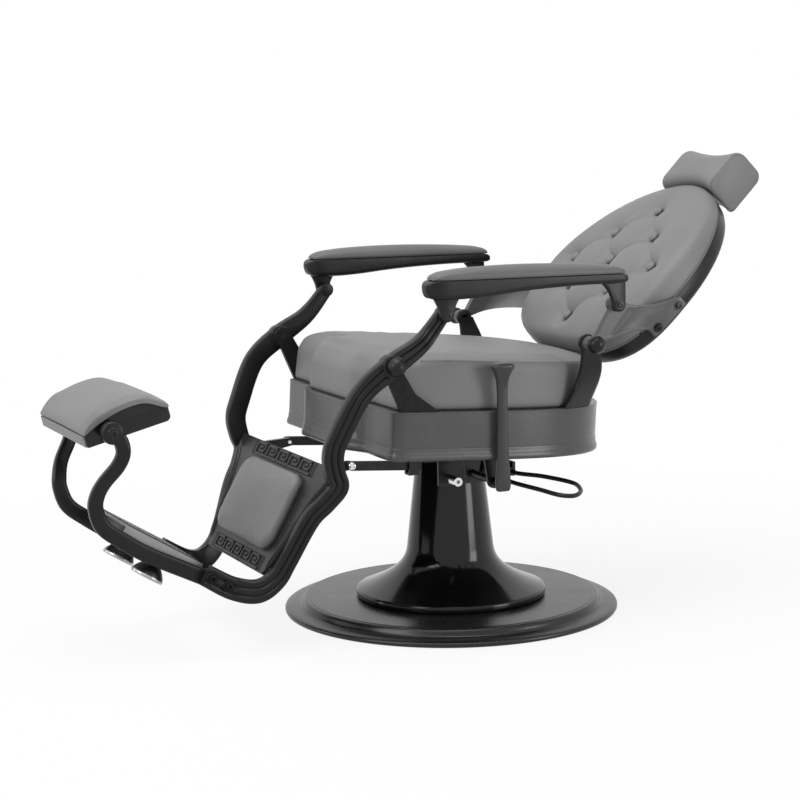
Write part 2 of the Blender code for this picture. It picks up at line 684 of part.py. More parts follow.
def back_bracket(side):
    """A cast arm from the two link pins to the side of the back shell."""
    margin = EYE_RADIUS * 0.8
    bottom, top = BACK_BOLTS[1] - margin, BACK_BOLTS[0] + margin
    heights = sorted([bottom, top] + [z for x, z in back_outline(0.0) if x > 0 and bottom < z < top])
    ends = [back_point(height, FLANGE_START) for height in (bottom, top)]
    rings = []
    for k in range(8):
        t = k / 7
        blend = max(0.0, (t - 0.25) / 0.75)
        blend = blend * blend * (3 - 2 * blend)
        waist = 0.012 * sin(pi * t)
        low = [a + (b - a) * t for a, b in zip((REAR_PIVOT[0], REAR_PIVOT[1] - 0.006), ends[0])]
        high = [a + (b - a) * t for a, b in zip((ARM_REAR_PIN[0], ARM_REAR_PIN[1] + 0.006), ends[1])]
        low[1] += waist
        high[1] -= waist
        thick = LINK_THICKNESS * 0.7 * (1 - blend) + BACK_FLANGE * blend
        inner, outer = [], []
        for height in heights:
            share = (height - bottom) / (top - bottom)
            y, z = (a + (b - a) * share for a, b in zip(low, high))
            x = (LINK_IN + EYE_PROUD) * (1 - blend) + (back_half_width(height, 0.0) + SEAT_GAP) * blend
            inner.append((side * x, y, z))
            outer.append((side * (x + thick), y, z))
        rings.append(inner + outer[::-1])
    flange = []
    for height in heights:
        x = back_half_width(height, SHELL_TAPER) + 2 * SEAT_GAP
        place = back_point(height, SHELL_SIDE)
        flange.append(((side * x, *place), (side * (x + BACK_FLANGE), *place)))
    rings.append([inside for inside, outside in flange] + [outside for inside, outside in flange[::-1]])
    eyes = [drum(REAR_PIVOT, EYE_RADIUS, LINK_IN, LINK_OUT, side),
            drum(ARM_REAR_PIN, ARM_EYE_RADIUS, LINK_IN, LINK_OUT, side)]
    holes = [drum(REAR_PIVOT, PIVOT_RADIUS + PIN_PLAY, LINK_IN - 0.01, LINK_OUT + 0.01, side, 16),
             drum(ARM_REAR_PIN, PIN_RADIUS + PIN_PLAY, LINK_IN - 0.01, LINK_OUT + 0.01, side, 16)]
    return combine(combine(loft(rings), eyes, "UNION"), holes, "DIFFERENCE")


def tuft_relief(x, z):
    """How far the sewn tufts draw the back's face in, on a diamond pattern."""
    sunk = 0.0
    for i in range(-2, 3):
        for j in range(-2, 3):
            if abs(i) + abs(j) in (0, 2):
                away = hypot(x - i * TUFT_STEP_X, z - TUFT_CENTRE - j * TUFT_STEP_Z)
                sunk = max(sunk, TUFT_DEPTH * max(0.0, 1 - away / (2.4 * TUFT_SPREAD)) ** 1.5)
    return sunk


def post_slot(play, low, high):
    """The headrest post's section, with play all round, as a box up the back."""
    half, thick = POST_HALF_WIDTH + play, POST_THICKNESS / 2 + play
    ring = [(-half, POST_DEPTH - thick), (half, POST_DEPTH - thick), (half, POST_DEPTH + thick),
            (-half, POST_DEPTH + thick)]
    return loft([[(x, y, z) for x, y in ring] for z in (low, high)])


def build_back(back, headrest):
    """Brackets, dished shell, tufted cushion, and the headrest on its sliding post."""
    for letter, side in SIDES:
        add_piece(f"back_bracket_{letter}", back_bracket(side), SATIN_BLACK, back)

    place = {"location": (0.0, *BACK_CENTRE), "lean": BACK_RECLINE}
    floor = SHELL_DEPTH - SHELL_WALL
    levels = [(floor, SHELL_WALL + 0.026), (SHELL_WALL, SHELL_WALL + 0.002), (0, SHELL_WALL), (0, 0.001),
              (FLANGE_START, 0), (SHELL_SIDE, SHELL_TAPER), (SHELL_DEPTH * 0.82, 0.006),
              (SHELL_DEPTH * 0.95, 0.018), (SHELL_DEPTH, 0.045)]
    rings = [[(x, depth, z) for x, z in back_outline(inset)] for depth, inset in levels]
    slot = post_slot(2 * PIN_PLAY, BACK_UP - SOCKET_DROP, BACK_UP + 0.020)
    add_piece("back_shell", combine(loft(rings), [slot], "DIFFERENCE"), SATIN_BLACK, back, **place)

    def on_shell(x, z, rise):
        thinner = BACK_PAD_THINNING * (max(0.0, z) / BACK_UP) ** 1.5
        return (x, -SEAT_GAP - (rise - SEAT_GAP) * (1 - thinner), z)

    add_piece("back_cushion", cushion(
        back_outline, SEAT_GAP, BACK_PAD_EDGE, BACK_PAD_CROWN, BACK_PAD_SOFTNESS, on_shell,
        (0.0, TUFT_CENTRE), tuft_relief), LEATHER, back, **place)

    top = BACK_UP - SOCKET_DROP
    half = POST_HALF_WIDTH + SOCKET_WALL
    front = POST_DEPTH - POST_THICKNESS / 2 - SOCKET_WALL
    sleeve = [(-half, front), (half, front), (half, floor - SEAT_GAP), (-half, floor - SEAT_GAP)]
    sleeve = loft([[(x, y, z) for x, y in sleeve] for z in (top - SOCKET_LENGTH, top)])
    hole = post_slot(PIN_PLAY, top - SOCKET_LENGTH - 0.01, top + 0.01)
    add_piece("headrest_socket", combine(sleeve, [hole], "DIFFERENCE"), DARK_STEEL, back, **place)

    post_top = BACK_UP + HEADREST_GAP + 0.040
    add_piece("headrest_post", post_slot(0.0, post_top - POST_LENGTH, post_top), CHROME, headrest, **place)
    pocket = post_slot(PIN_PLAY, 0.0, post_top + SEAT_GAP)
    add_piece("headrest_cushion", combine(headrest_block(), [pocket], "DIFFERENCE"), LEATHER, headrest, **place)


def headrest_block():
    """A block hollowed along its front and top, whose underside follows the back's oval."""
    rings = []
    for k in range(11):
        share = k / 5 - 1
        x = HEADREST_HALF_WIDTH * share
        sag = HEADREST_SAG * (1 - share ** 2)
        foot = back_half_height(x) + HEADREST_GAP
        trim = 0.004 if abs(share) == 1 else 0.0
        ring = rounded_box((sag + trim - HEADREST_FRONT, foot + trim),
                           (HEADREST_REAR - trim, HEADREST_TOP - sag * 0.6 - trim), HEADREST_EDGES, 4)
        rings.append([(x, y, z) for y, z in ring])
    return loft(rings)


def back_half_height(x):
    return BACK_UP * (1 - (x / BACK_HALF_WIDTH) ** 2) ** 0.5


def arm_station(share):
    """A distance along the armrest, from its nose to its tail."""
    nose, tail = ARM_FRONT_PIN[0] - ARM_NOSE, ARM_REAR_PIN[0] + ARM_TAIL
    return nose + (tail - nose) * share


def arm_top(share):
    """Height of the casting's top, which slopes a little down to the rear."""
    return ARM_FRONT_PIN[1] + ARM_RISE - ARM_FALL * share


# Along the casting: share of its length, drop and height in shares of its depth, share of its width
ARM_STATIONS = ((0.0, 0.28, 0.28, 0.36), (0.012, 0.15, 0.70, 0.64), (0.035, 0.04, 0.94, 0.89),
                (0.075, 0.0, 1.0, 0.99), (0.16, 0.0, 1.02, 1.0), (0.28, 0.0, 0.94, 1.0), (0.46, 0.0, 0.74, 1.0),
                (0.70, 0.0, 0.58, 1.0), (0.94, 0.0, 0.52, 1.0), (0.985, 0.05, 0.44, 0.97),
                (1.0, 0.15, 0.28, 0.90))


def armrest(side):
    """A casting with a rounded nose, and a tab at each end that drops to its pin."""
    rings = []
    for share, drop, height, width in ARM_STATIONS:
        y, top = arm_station(share), arm_top(share) - drop * ARM_DEPTH
        half, height = ARM_HALF_WIDTH * width, height * ARM_DEPTH
        ring = rounded_box((ARM_X - half, top - height), (ARM_X + half, top), min(ARM_DEPTH / 5, height / 3), 2)
        rings.append([(side * x, y, z) for x, z in ring])
    body = loft(rings)
    eye, (y, z) = ARM_EYE_RADIUS, ARM_FRONT_PIN
    root = arm_top(0.0) - ARM_DEPTH * 0.6
    front = [*arc(ARM_FRONT_PIN, eye, 195, 350, 6), (y + eye * 1.7, root - eye * 1.1),
             (y + eye * 3.6, root), (y - ARM_NOSE * 0.78, root), (y - eye * 2.2, root - eye * 0.7),
             (y - eye * 1.5, root - eye * 1.9)]
    y, z = ARM_REAR_PIN
    root = arm_top(1.0) - ARM_DEPTH * 0.38
    rear = [*arc(ARM_REAR_PIN, eye, 165, 360, 7), (y + ARM_TAIL, root - eye * 0.45), (y + ARM_TAIL * 0.5, root),
            (y - eye * 3.2, root), (y - eye * 1.7, root - eye * 1.3)]
    tabs = [plate(outline, TAB_IN, TAB_OUT, side) for outline in (front, rear)]
    holes = [drum(point, PIN_RADIUS + SEAT_GAP, TAB_IN - 0.01, TAB_OUT + 0.01, side, 16)
             for point in (ARM_FRONT_PIN, ARM_REAR_PIN)]
    return combine(combine(body, tabs, "UNION"), holes, "DIFFERENCE")


def armrest_pad(side):
    """A low rounded pad on top of the casting."""
    half_full = ARM_HALF_WIDTH + ARM_PAD_OVERHANG
    rings = []
    for share, height, width in ((0.034, 0.20, 0.60), (0.055, 0.42, 0.80), (0.10, 0.66, 0.95), (0.24, 0.92, 1.0),
                                 (0.45, 1.0, 1.0), (0.70, 0.92, 1.0), (0.90, 0.72, 1.0), (0.965, 0.52, 0.95),
                                 (0.985, 0.30, 0.86)):
        y, foot = arm_station(share), arm_top(share) + SEAT_GAP
        half, rise = half_full * width, ARM_PAD_HEIGHT * height
        ring = [(-1, 0.0), (1, 0.0), (1.0, 0.45), (0.86, 0.78), (0.5, 0.96), (0, 1.0), (-0.5, 0.96),
                (-0.86, 0.78), (-1.0, 0.45)]
        rings.append([(side * (ARM_X + half * a), y, foot + rise * b) for a, b in ring])
    return loft(rings)


def build_armrests(arms, back):
    for letter, side in SIDES:
        add_piece(f"armrest_{letter}", armrest(side), SATIN_BLACK, arms)
        add_piece(f"armrest_pad_{letter}", armrest_pad(side), LEATHER_DARK, arms)
        add_piece(f"arm_rear_pin_{letter}", pin_with_head(ARM_REAR_PIN, PIN_RADIUS, LINK_IN, TAB_OUT, side),
                  GLOSS_BLACK, arms)
        add_piece(f"arm_front_pin_{letter}", pin_with_head(ARM_FRONT_PIN, PIN_RADIUS, LINK_IN, TAB_OUT, side),
                  GLOSS_BLACK, arms)


# The leg frame's middle line after its pivot: x from the link plane, y and z from the pivot, and width
LEG_SHIN = ((-0.0045, -0.057, -0.046, 0.038), (-0.0205, -0.0965, -0.123, 0.038),
            (-0.0245, -0.1065, -0.156, 0.038), (-0.0275, -0.102, -0.188, 0.037), (-0.0310, -0.095, -0.214, 0.036),
            (-0.0510, -0.1105, -0.244, 0.035), (-0.0720, -0.135, -0.278, 0.034), (-0.1000, -0.1685, -0.353, 0.035),
            (-0.1105, -0.1885, -0.388, 0.038), (-0.1230, -0.219, -0.408, 0.043))
LEG_TOE = ((-0.259, -0.402, 0.042), (-0.309, -0.3725, 0.040))    # y and z from the pivot, and width
LEG_SECTION = ((-0.42, 0.5), (-0.24, 0.5), (-0.18, 0.40), (-0.12, 0.5), (0.12, 0.5), (0.18, 0.40),
               (0.24, 0.5), (0.42, 0.5), (0.5, 0.34), (0.5, -0.34), (0.42, -0.5), (-0.42, -0.5),
               (-0.5, -0.34), (-0.5, 0.34))


def leg_run(steps):
    """The leg frame's run from the armrest's front pin over its pivot down to the toe."""
    y, z = FRONT_PIVOT
    middle = LINK_IN + EYE_PROUD + LEG_THICKNESS / 2
    bow = ((ARM_FRONT_PIN[0] + y) / 2 + 0.007, (ARM_FRONT_PIN[1] + z) / 2 - 0.006)
    points = [(middle, *ARM_FRONT_PIN, 0.026), (middle, *bow, 0.032), (middle, y, z, 0.041)]
    points += [(middle + dx, y + dy, z + dz, width) for dx, dy, dz, width in LEG_SHIN]
    points += [(LEG_TOE_X, y + dy, z + dz, width) for dy, dz, width in LEG_TOE]
    return [(max(x, LEG_TOE_X), y, z, width) for x, y, z, width in smooth_run(points, steps)]


def leg_frame(side):
    """A grooved bar with an eye at the armrest pin and at the seat pivot."""
    bar = swept_bar(leg_run(2), LEG_SECTION, LEG_THICKNESS, side)
    reach = LINK_IN + LEG_THICKNESS
    eyes = [drum(ARM_FRONT_PIN, ARM_EYE_RADIUS, LINK_IN, LINK_OUT + EYE_PROUD, side, 18),
            drum(FRONT_PIVOT, EYE_RADIUS + 0.002, LINK_IN, LINK_OUT + EYE_PROUD, side, 20)]
    relief = [drum(ARM_FRONT_PIN, ARM_EYE_RADIUS + 0.024, LINK_OUT, reach + 0.01, side, 20),
              drum(FRONT_PIVOT, EYE_RADIUS + 0.004, LINK_OUT, reach + 0.01, side, 20),
              drum(FRONT_PIVOT, PIVOT_RADIUS + PIN_PLAY, LINK_IN - 0.01, reach + 0.01, side, 16),
              drum(ARM_FRONT_PIN, PIN_RADIUS + LINK_PLAY, LINK_IN - 0.01, reach + 0.01, side, 16)]
    return combine(combine(bar, eyes, "UNION"), relief, "DIFFERENCE")


def calf_panel():
    """A plate that fills the space between the leg frames, with two lugs for the link bars."""
    up = Vector((0.0, sin(CALF_LEAN), cos(CALF_LEAN)))
    out = Vector((0.0, -cos(CALF_LEAN), sin(CALF_LEAN)))
    met = []
    frames = run_frames(leg_run(2))
    for (start, wide, across_start), (end, narrow, across_end) in zip(frames, frames[1:]):
        for k in range(48):
            t, u = (k // 8) / 6, (k % 8) / 7 - 0.5
            point = start.lerp(end, t)
            width = across_start.lerp(across_end, t) * (wide + (narrow - wide) * t)
            place = point + width * u - Vector((0.0, *CALF_CENTRE))
            away = abs(place.dot(out) + CALF_THICKNESS / 2)
            if away < 2 * CALF_THICKNESS and point.z < FRONT_PIVOT[1] - 0.1:
                met.append((away, place.dot(up), point.x - LEG_THICKNESS / 2 - SEAT_GAP))
    edge = []
    for k in range(19):
        level = CALF_HALF_HEIGHT * (1 - k / 9)
        nearby = [(away, x) for away, height, x in met if abs(height - level) < CALF_HALF_HEIGHT / 9]
        beside = [x for away, x in nearby if away < CALF_THICKNESS]
        edge.append((min(beside or [x for away, x in nearby]), level))
    outline = edge + [(-x, height) for x, height in reversed(edge)]
    panel = loft([[calf_point(x, height, proud) for x, height in outline] for proud in (0.0, -CALF_THICKNESS)])
    lugs = []
    radius = BAR_HEIGHT / 2 - 0.0005
    inner = BAR_X - BAR_THICKNESS * 1.5 - SIDE_PLAY
    outer = BAR_X - BAR_THICKNESS / 2 - SIDE_PLAY
    high = calf_point(0, CALF_HALF_HEIGHT - 0.004, -CALF_THICKNESS / 2)[1:]
    low = calf_point(0, CALF_HALF_HEIGHT - 0.034, -CALF_THICKNESS / 2)[1:]
    holes = []
    for letter, side in SIDES:
        lugs.append(plate([*arc(BAR_PIN, radius, -80, 80, 6), high, low], inner, outer, side))
        holes.append(drum(BAR_PIN, BAR_PIN_RADIUS + SEAT_GAP, inner - 0.01, outer + 0.01, side, 16))
    return combine(combine(panel, lugs, "UNION"), holes, "DIFFERENCE")


def calf_pad_outline(inset):
    half, tall = CALF_PAD_HALF_WIDTH - inset, CALF_PAD_HALF_HEIGHT - inset
    return rounded_box((-half, CALF_PAD_RISE - tall), (half, CALF_PAD_RISE + tall), 0.018, 4)


# The foot arm's middle line behind the footpad's pivot: y and z from the pivot, share of the way out, width
FOOT_ARM_RUN = ((0.2256, -0.3125, 0.0, 0.030), (0.1726, -0.2835, 0.0, 0.030), (0.0746, -0.2340, 0.0, 0.030),
                (0.0226, -0.2000, 0.0, 0.030), (-0.0090, -0.1740, 0.0, 0.029), (-0.0215, -0.1410, 0.05, 0.027),
                (-0.0200, -0.1160, 0.20, 0.026), (-0.0105, -0.0910, 0.50, 0.025), (0.0095, -0.0610, 0.88, 0.025),
                (0.0185, -0.0380, 1.0, 0.025), (0.0150, -0.0160, 1.0, 0.026), (0.0, 0.0, 1.0, 0.028))
FOOT_ARM_SECTION = ((-0.36, 0.5), (0.36, 0.5), (0.5, 0.30), (0.5, -0.30), (0.36, -0.5), (-0.36, -0.5),
                    (-0.5, -0.30), (-0.5, 0.30))


def foot_arm(side):
    """An S-shaped bar from the leg frame's toe up to the footpad's pivot, spreading on its way."""
    y, z = FOOTPAD_PIVOT
    points = [(FOOT_ARM_X + (FOOT_EYE_X - FOOT_ARM_X) * share, y + dy, z + dz, width)
              for dy, dz, share, width in FOOT_ARM_RUN]
    bar = swept_bar(smooth_run(points, 2), FOOT_ARM_SECTION, FOOT_ARM_THICKNESS, side)
    half = FOOT_EYE_THICKNESS / 2
    boss = FOOT_EYE_X - half - FOOT_EYE_BOSS
    eyes = [drum(FOOTPAD_PIVOT, FOOT_EYE_RADIUS, FOOT_EYE_X - half, FOOT_EYE_X + half, side),
            drum(FOOTPAD_PIVOT, FOOT_EYE_RADIUS * 0.7, boss, FOOT_EYE_X, side)]
    hole = drum(FOOTPAD_PIVOT, PIVOT_RADIUS + SEAT_GAP, boss - 0.01, FOOT_EYE_X + 0.02, side, 16)
    return combine(combine(bar, eyes, "UNION"), [hole], "DIFFERENCE")


def foot_plate_point(x, along, rise):
    """World place of a point along the foot plate from its rear edge, and above its top."""
    dy, dz = (b - a for a, b in zip(FOOT_PLATE_REAR, FOOT_PLATE_FRONT))
    length = hypot(dy, dz)
    return (x, FOOT_PLATE_REAR[0] + (dy * along + dz * rise) / length,
            FOOT_PLATE_REAR[1] + (dz * along - dy * rise) / length)


def foot_plate():
    """A tread with turned-down sides that lie against the foot arms, and a row of long slots."""
    length = hypot(*(b - a for a, b in zip(FOOT_PLATE_REAR, FOOT_PLATE_FRONT)))
    half, thick = FOOT_ARM_IN - SEAT_GAP, FOOT_PLATE_THICKNESS
    section = [(-half, 0), (half, 0), (half, -FOOT_FLANGE), (half - thick, -FOOT_FLANGE),
               (half - thick, -thick), (thick - half, -thick), (thick - half, -FOOT_FLANGE),
               (-half, -FOOT_FLANGE)]
    tread = loft([[foot_plate_point(x, along, rise) for x, rise in section] for along in (0.0, length)])
    slots = []
    pitch = 2 * (half - 0.018) / FOOT_SLOTS
    for k in range(FOOT_SLOTS):
        middle = pitch * (k - (FOOT_SLOTS - 1) / 2)
        reach = FOOT_SLOT_WIDTH / 2
        ring = rounded_box((middle - reach, 0.022), (middle + reach, length - 0.022), reach, 2)
        slots.append(loft([[foot_plate_point(x, along, rise) for x, along in ring] for rise in (0.01, -0.012)]))
    return combine(tread, slots, "DIFFERENCE")


def glide(side):
    """A floor glide under the foot plate: stem, flared cup and a broad foot with a bright rim."""
    top = foot_plate_point(side * GLIDE_X, GLIDE_ALONG, -FOOT_PLATE_THICKNESS - SEAT_GAP)
    down = Vector(foot_plate_point(0, 0, -1)) - Vector(foot_plate_point(0, 0, 0))
    turn = Vector((0, 0, 1)).rotation_difference(down).to_matrix().to_4x4()
    rim, drop = GLIDE_RADIUS, GLIDE_DROP
    profile = [(0, 0), (0.011, 0), (0.011, 0.003), (0.007, 0.005), (0.007, drop - 0.026),
               (rim * 0.5, drop - 0.022), (rim * 0.80, drop - 0.012), (rim * 0.97, drop - 0.004),
               (rim, drop - 0.002), (rim, drop + 0.002), (rim * 0.92, drop + 0.0035), (0, drop + 0.0035)]
    return turned(profile, 16, Matrix.Translation(top) @ turn)


def footpad_point(x, along, rise):
    """World place of a point behind the footpad's pivot and above it, in the pad's tilted frame."""
    y, z = FOOTPAD_PIVOT
    return (x, y + along * cos(FOOTPAD_TILT) - rise * sin(FOOTPAD_TILT),
            z + along * sin(FOOTPAD_TILT) + rise * cos(FOOTPAD_TILT))


def footpad_arch():
    """The footpad's arched top as (along, rise), from its front to its rear."""
    length = FOOTPAD_AHEAD + FOOTPAD_BEHIND
    knots = [(0.0, FOOTPAD_FRONT_HEIGHT), (0.22, FOOTPAD_FRONT_HEIGHT * 0.4 + FOOTPAD_ARCH * 0.6),
             (0.47, FOOTPAD_ARCH), (0.74, FOOTPAD_ARCH * 0.98), (0.94, FOOTPAD_REAR_HEIGHT * 1.1),
             (1.0, FOOTPAD_REAR_HEIGHT)]
    return [(length * share - FOOTPAD_AHEAD, rise - FOOTPAD_BELOW) for share, rise in smooth_run(knots, 2)]


def footpad_base():
    """The board and end cheeks of the footpad, with a hole at each end for the pivot bolts."""
    outline = [(FOOTPAD_BEHIND, -FOOTPAD_BELOW), (0.004 - FOOTPAD_AHEAD, -FOOTPAD_BELOW),
               (-FOOTPAD_AHEAD, 0.004 - FOOTPAD_BELOW), *footpad_arch()]
    half = FOOTPAD_HALF_WIDTH
    core = loft([[footpad_point(x, along, rise) for along, rise in outline] for x in (-half, half)])
    holes = [drum(FOOTPAD_PIVOT, PIVOT_RADIUS + PIN_PLAY, half - 0.020, half + 0.01, side) for _, side in SIDES]
    return combine(core, holes, "DIFFERENCE")


def footpad_cushion():
    """A pad over the arch, thickest along its crown and soft at both ends."""
    arch = footpad_arch()
    count = len(arch) - 1
    rings = []
    for k in range(13):
        share = k / 6 - 1
        full = (1 - 0.72 * abs(share) ** 6)
        x = (FOOTPAD_HALF_WIDTH + 0.002) * share
        ring = [footpad_point(x, along, rise + SEAT_GAP * 2) for along, rise in arch]
        for i in range(count, -1, -1):
            along, rise = arch[i]
            t = i / count
            swell = FOOTPAD_CUSHION * full * max(0.42, sin(pi * (0.06 + 0.88 * t)) ** 0.42)
            spread = 0.004 * (2 * t - 1) * full
            ring.append(footpad_point(x, along + spread, rise + swell))
        rings.append(ring)
    return loft(rings)


def build_legs(legs, footpad, bars):
    """Everything that swings with the leg frames, the tilting footpad and the link bars."""
    for letter, side in SIDES:
        add_piece(f"leg_frame_{letter}", leg_frame(side), SATIN_BLACK, legs)
    add_piece("calf_panel", calf_panel(), SATIN_BLACK, legs)
    add_piece("calf_pad", cushion(
        calf_pad_outline, SEAT_GAP, CALF_PAD_EDGE, CALF_PAD_CROWN, 0.012, calf_point, (0.0, CALF_PAD_RISE)),
        LEATHER, legs)
    add_piece("foot_plate", foot_plate(), BRIGHT_STEEL, legs)
    add_piece("footpad_base", footpad_base(), BLACK_BOARD, footpad)
    add_piece("footpad_cushion", footpad_cushion(), LEATHER, footpad)
    outer = FOOT_EYE_X + FOOT_EYE_THICKNESS / 2
    for letter, side in SIDES:
        add_piece(f"foot_arm_{letter}", foot_arm(side), SATIN_BLACK, legs)
        add_piece(f"foot_glide_{letter}", glide(side), GLOSS_BLACK, legs)
        add_piece(f"footpad_bolt_{letter}",
                  pin_with_head(FOOTPAD_PIVOT, PIVOT_RADIUS, FOOTPAD_HALF_WIDTH - 0.018, outer, side),
                  GLOSS_BLACK, legs)
        half = BAR_THICKNESS / 2
        add_piece(f"link_pin_{letter}",
                  pin_with_head(BAR_PIN, BAR_PIN_RADIUS, BAR_X - 3 * half - SIDE_PLAY, BAR_X + half, side),
                  CHROME, legs)
        radius = BAR_HEIGHT / 2
        low = BAR_PIN[1] - BAR_SLOPE * (BAR_END - BAR_PIN[0])
        outline = [*arc(BAR_PIN, radius, 85, 275, 8), (BAR_END, low - radius), (BAR_END, low + radius)]
        hole = drum(BAR_PIN, BAR_PIN_RADIUS + PIN_PLAY, BAR_X - 0.02, BAR_X + 0.02, side, 16)
        bar = combine(plate(outline, BAR_X - half, BAR_X + half, side), [hole], "DIFFERENCE")
        add_piece(f"link_bar_{letter}", bar, SATIN_BLACK, bars)


def bar_guide(side):
    """A strap under the pan that a link bar runs through."""
    inner = BAR_THICKNESS / 2 + GUIDE_PLAY
    outer = inner + GUIDE_WALL
    middle = GUIDE_START + GUIDE_LENGTH / 2
    floor = BAR_PIN[1] - BAR_SLOPE * (middle - BAR_PIN[0]) - BAR_HEIGHT / 2 - 3 * GUIDE_PLAY
    rings = []
    for y in (GUIDE_START, GUIDE_START + GUIDE_LENGTH):
        top = under_pan(y)
        section = [(-outer, top), (-outer, floor - GUIDE_WALL), (outer, floor - GUIDE_WALL), (outer, top),
                   (inner, top), (inner, floor), (-inner, floor), (-inner, top)]
        rings.append([(side * (BAR_X + x), y, z) for x, z in section])
    return loft(rings)


def lever_bracket():
    """A hanger under the pan with two cheeks that the lever's shaft turns in."""
    y, z = LEVER_AXIS
    ends = (y - 0.020, y + 0.022)
    web = [(end, under_pan(end)) for end in ends] + [(end, under_pan(end, 0.005)) for end in reversed(ends)]
    hanger = plate(web, LEVER_CHEEKS[0], LEVER_CHEEKS[1] + CHEEK_THICKNESS, 1)
    cheek = [(end, under_pan(end, 0.002)) for end in ends]
    cheek += arc(LEVER_AXIS, LEVER_SHAFT_RADIUS * 2, 10, -190, 8)
    cheeks = [plate(cheek, x, x + CHEEK_THICKNESS, 1) for x in LEVER_CHEEKS]
    hole = drum(LEVER_AXIS, LEVER_SHAFT_RADIUS + PIN_PLAY, LEVER_CHEEKS[0] - 0.02, LEVER_CHEEKS[1] + 0.03, 1)
    return combine(combine(hanger, cheeks, "UNION"), [hole], "DIFFERENCE")


def build_lever(seat, lever):
    """The recline lever: a slim blade with a flared grip, fixed on a shaft under the seat."""
    add_piece("lever_bracket", lever_bracket(), DARK_STEEL, seat)
    y, z = LEVER_AXIS
    inner = PAN_HALF_WIDTH + RIM_FLARE + LEVER_PLAY
    half = LEVER_THICKNESS / 2
    middle = inner + half
    rings = []
    for share, wide, thick in ((-0.06, 0.48, 0.8), (-0.045, 0.64, 1.0), (0.02, 0.70, 1.0), (0.20, 0.56, 0.95),
                               (0.50, 0.48, 0.9), (0.74, 0.48, 0.95), (0.85, 0.55, 1.15), (0.93, 0.83, 1.7),
                               (0.97, 1.0, 2.1), (0.993, 0.85, 1.9), (1.0, 0.55, 1.3)):
        height = z + LEVER_LENGTH * share
        wide, spread = LEVER_GRIP * wide, half * thick
        low = middle + max(0.0, spread - half) * 0.6 - spread
        ring = rounded_box((low, y - wide), (low + 2 * spread, y + wide), spread * 0.6, 2)
        rings.append([(x, wide_y, height) for x, wide_y in ring])
    end = middle
    socket = drum(LEVER_AXIS, LEVER_SHAFT_RADIUS + SEAT_GAP, inner - 0.01, end + SEAT_GAP, 1)
    add_piece("recline_lever", combine(loft(rings), [socket], "DIFFERENCE"), SATIN_BLACK, lever)
    add_piece("lever_shaft", drum(LEVER_AXIS, LEVER_SHAFT_RADIUS, LEVER_SHAFT_START, end, 1), DARK_STEEL, lever)


def box(low, high):
    ring = [(low[0], low[1]), (high[0], low[1]), (high[0], high[1]), (low[0], high[1])]
    return loft([[(x, y, z) for x, y in ring] for z in (low[2], high[2])])


def along_y(radius, start, end, segments=20):
    """A cylinder on the pedal's axis."""
    x, z = PEDAL_AXIS
    place = Matrix.Translation((x, 0.0, z)) @ Matrix.Rotation(-pi / 2, 4, "X")
    return turned([(0, start), (radius, start), (radius, end), (0, end)], segments, place)


def pump_bracket():
    """A hanger beside the column: a plate with two cheeks for the pedal's pin."""
    x, z = PEDAL_AXIS
    rear = PUMP_CHEEKS[1]
    low = STUD_CENTRE[1] - STUD_RADIUS - 0.004
    top = [(y, under_pan(y, MOUNT_THICKNESS + SEAT_GAP)) for y in (PUMP_PLATE_FRONT, PUMP_PLATE_REAR)]
    hanger = plate([top[0], top[1], (PUMP_CHEEKS[0] - CHEEK_THICKNESS, z + 0.018), (rear, z + 0.018),
                    (rear, z - YOKE_RADIUS), (PUMP_CHEEKS[0], low), (PUMP_PLATE_FRONT, low)],
                   PUMP_PLATE_X, PUMP_PLATE_X + CHEEK_THICKNESS, 1)
    reach = x + YOKE_RADIUS + 0.008
    cheeks = [box((PUMP_PLATE_X, y - CHEEK_THICKNESS, z - YOKE_RADIUS), (reach, y, z + 0.016))
              for y in (PUMP_CHEEKS[0] + CHEEK_THICKNESS, PUMP_CHEEKS[1])]
    hole = along_y(PIN_RADIUS + SEAT_GAP, PUMP_CHEEKS[0] - 0.02, PUMP_CHEEKS[1] + 0.02)
    return combine(combine(hanger, cheeks, "UNION"), [hole], "DIFFERENCE")


# The pedal's loop from its front root round to its rear one, in shares of its reach and of its width
PEDAL_LOOP = ((0.0, 0.0), (0.025, 0.0), (0.05, 0.0), (0.14, -0.045), (0.353, -0.09), (0.706, 0.09), (0.922, 0.196),
              (1.0, 0.366), (0.941, 0.545), (0.80, 0.705), (0.574, 0.786), (0.282, 0.576), (0.155, 0.39),
              (0.085, 0.285), (0.050, 0.27), (0.025, 0.27), (0.0, 0.27))


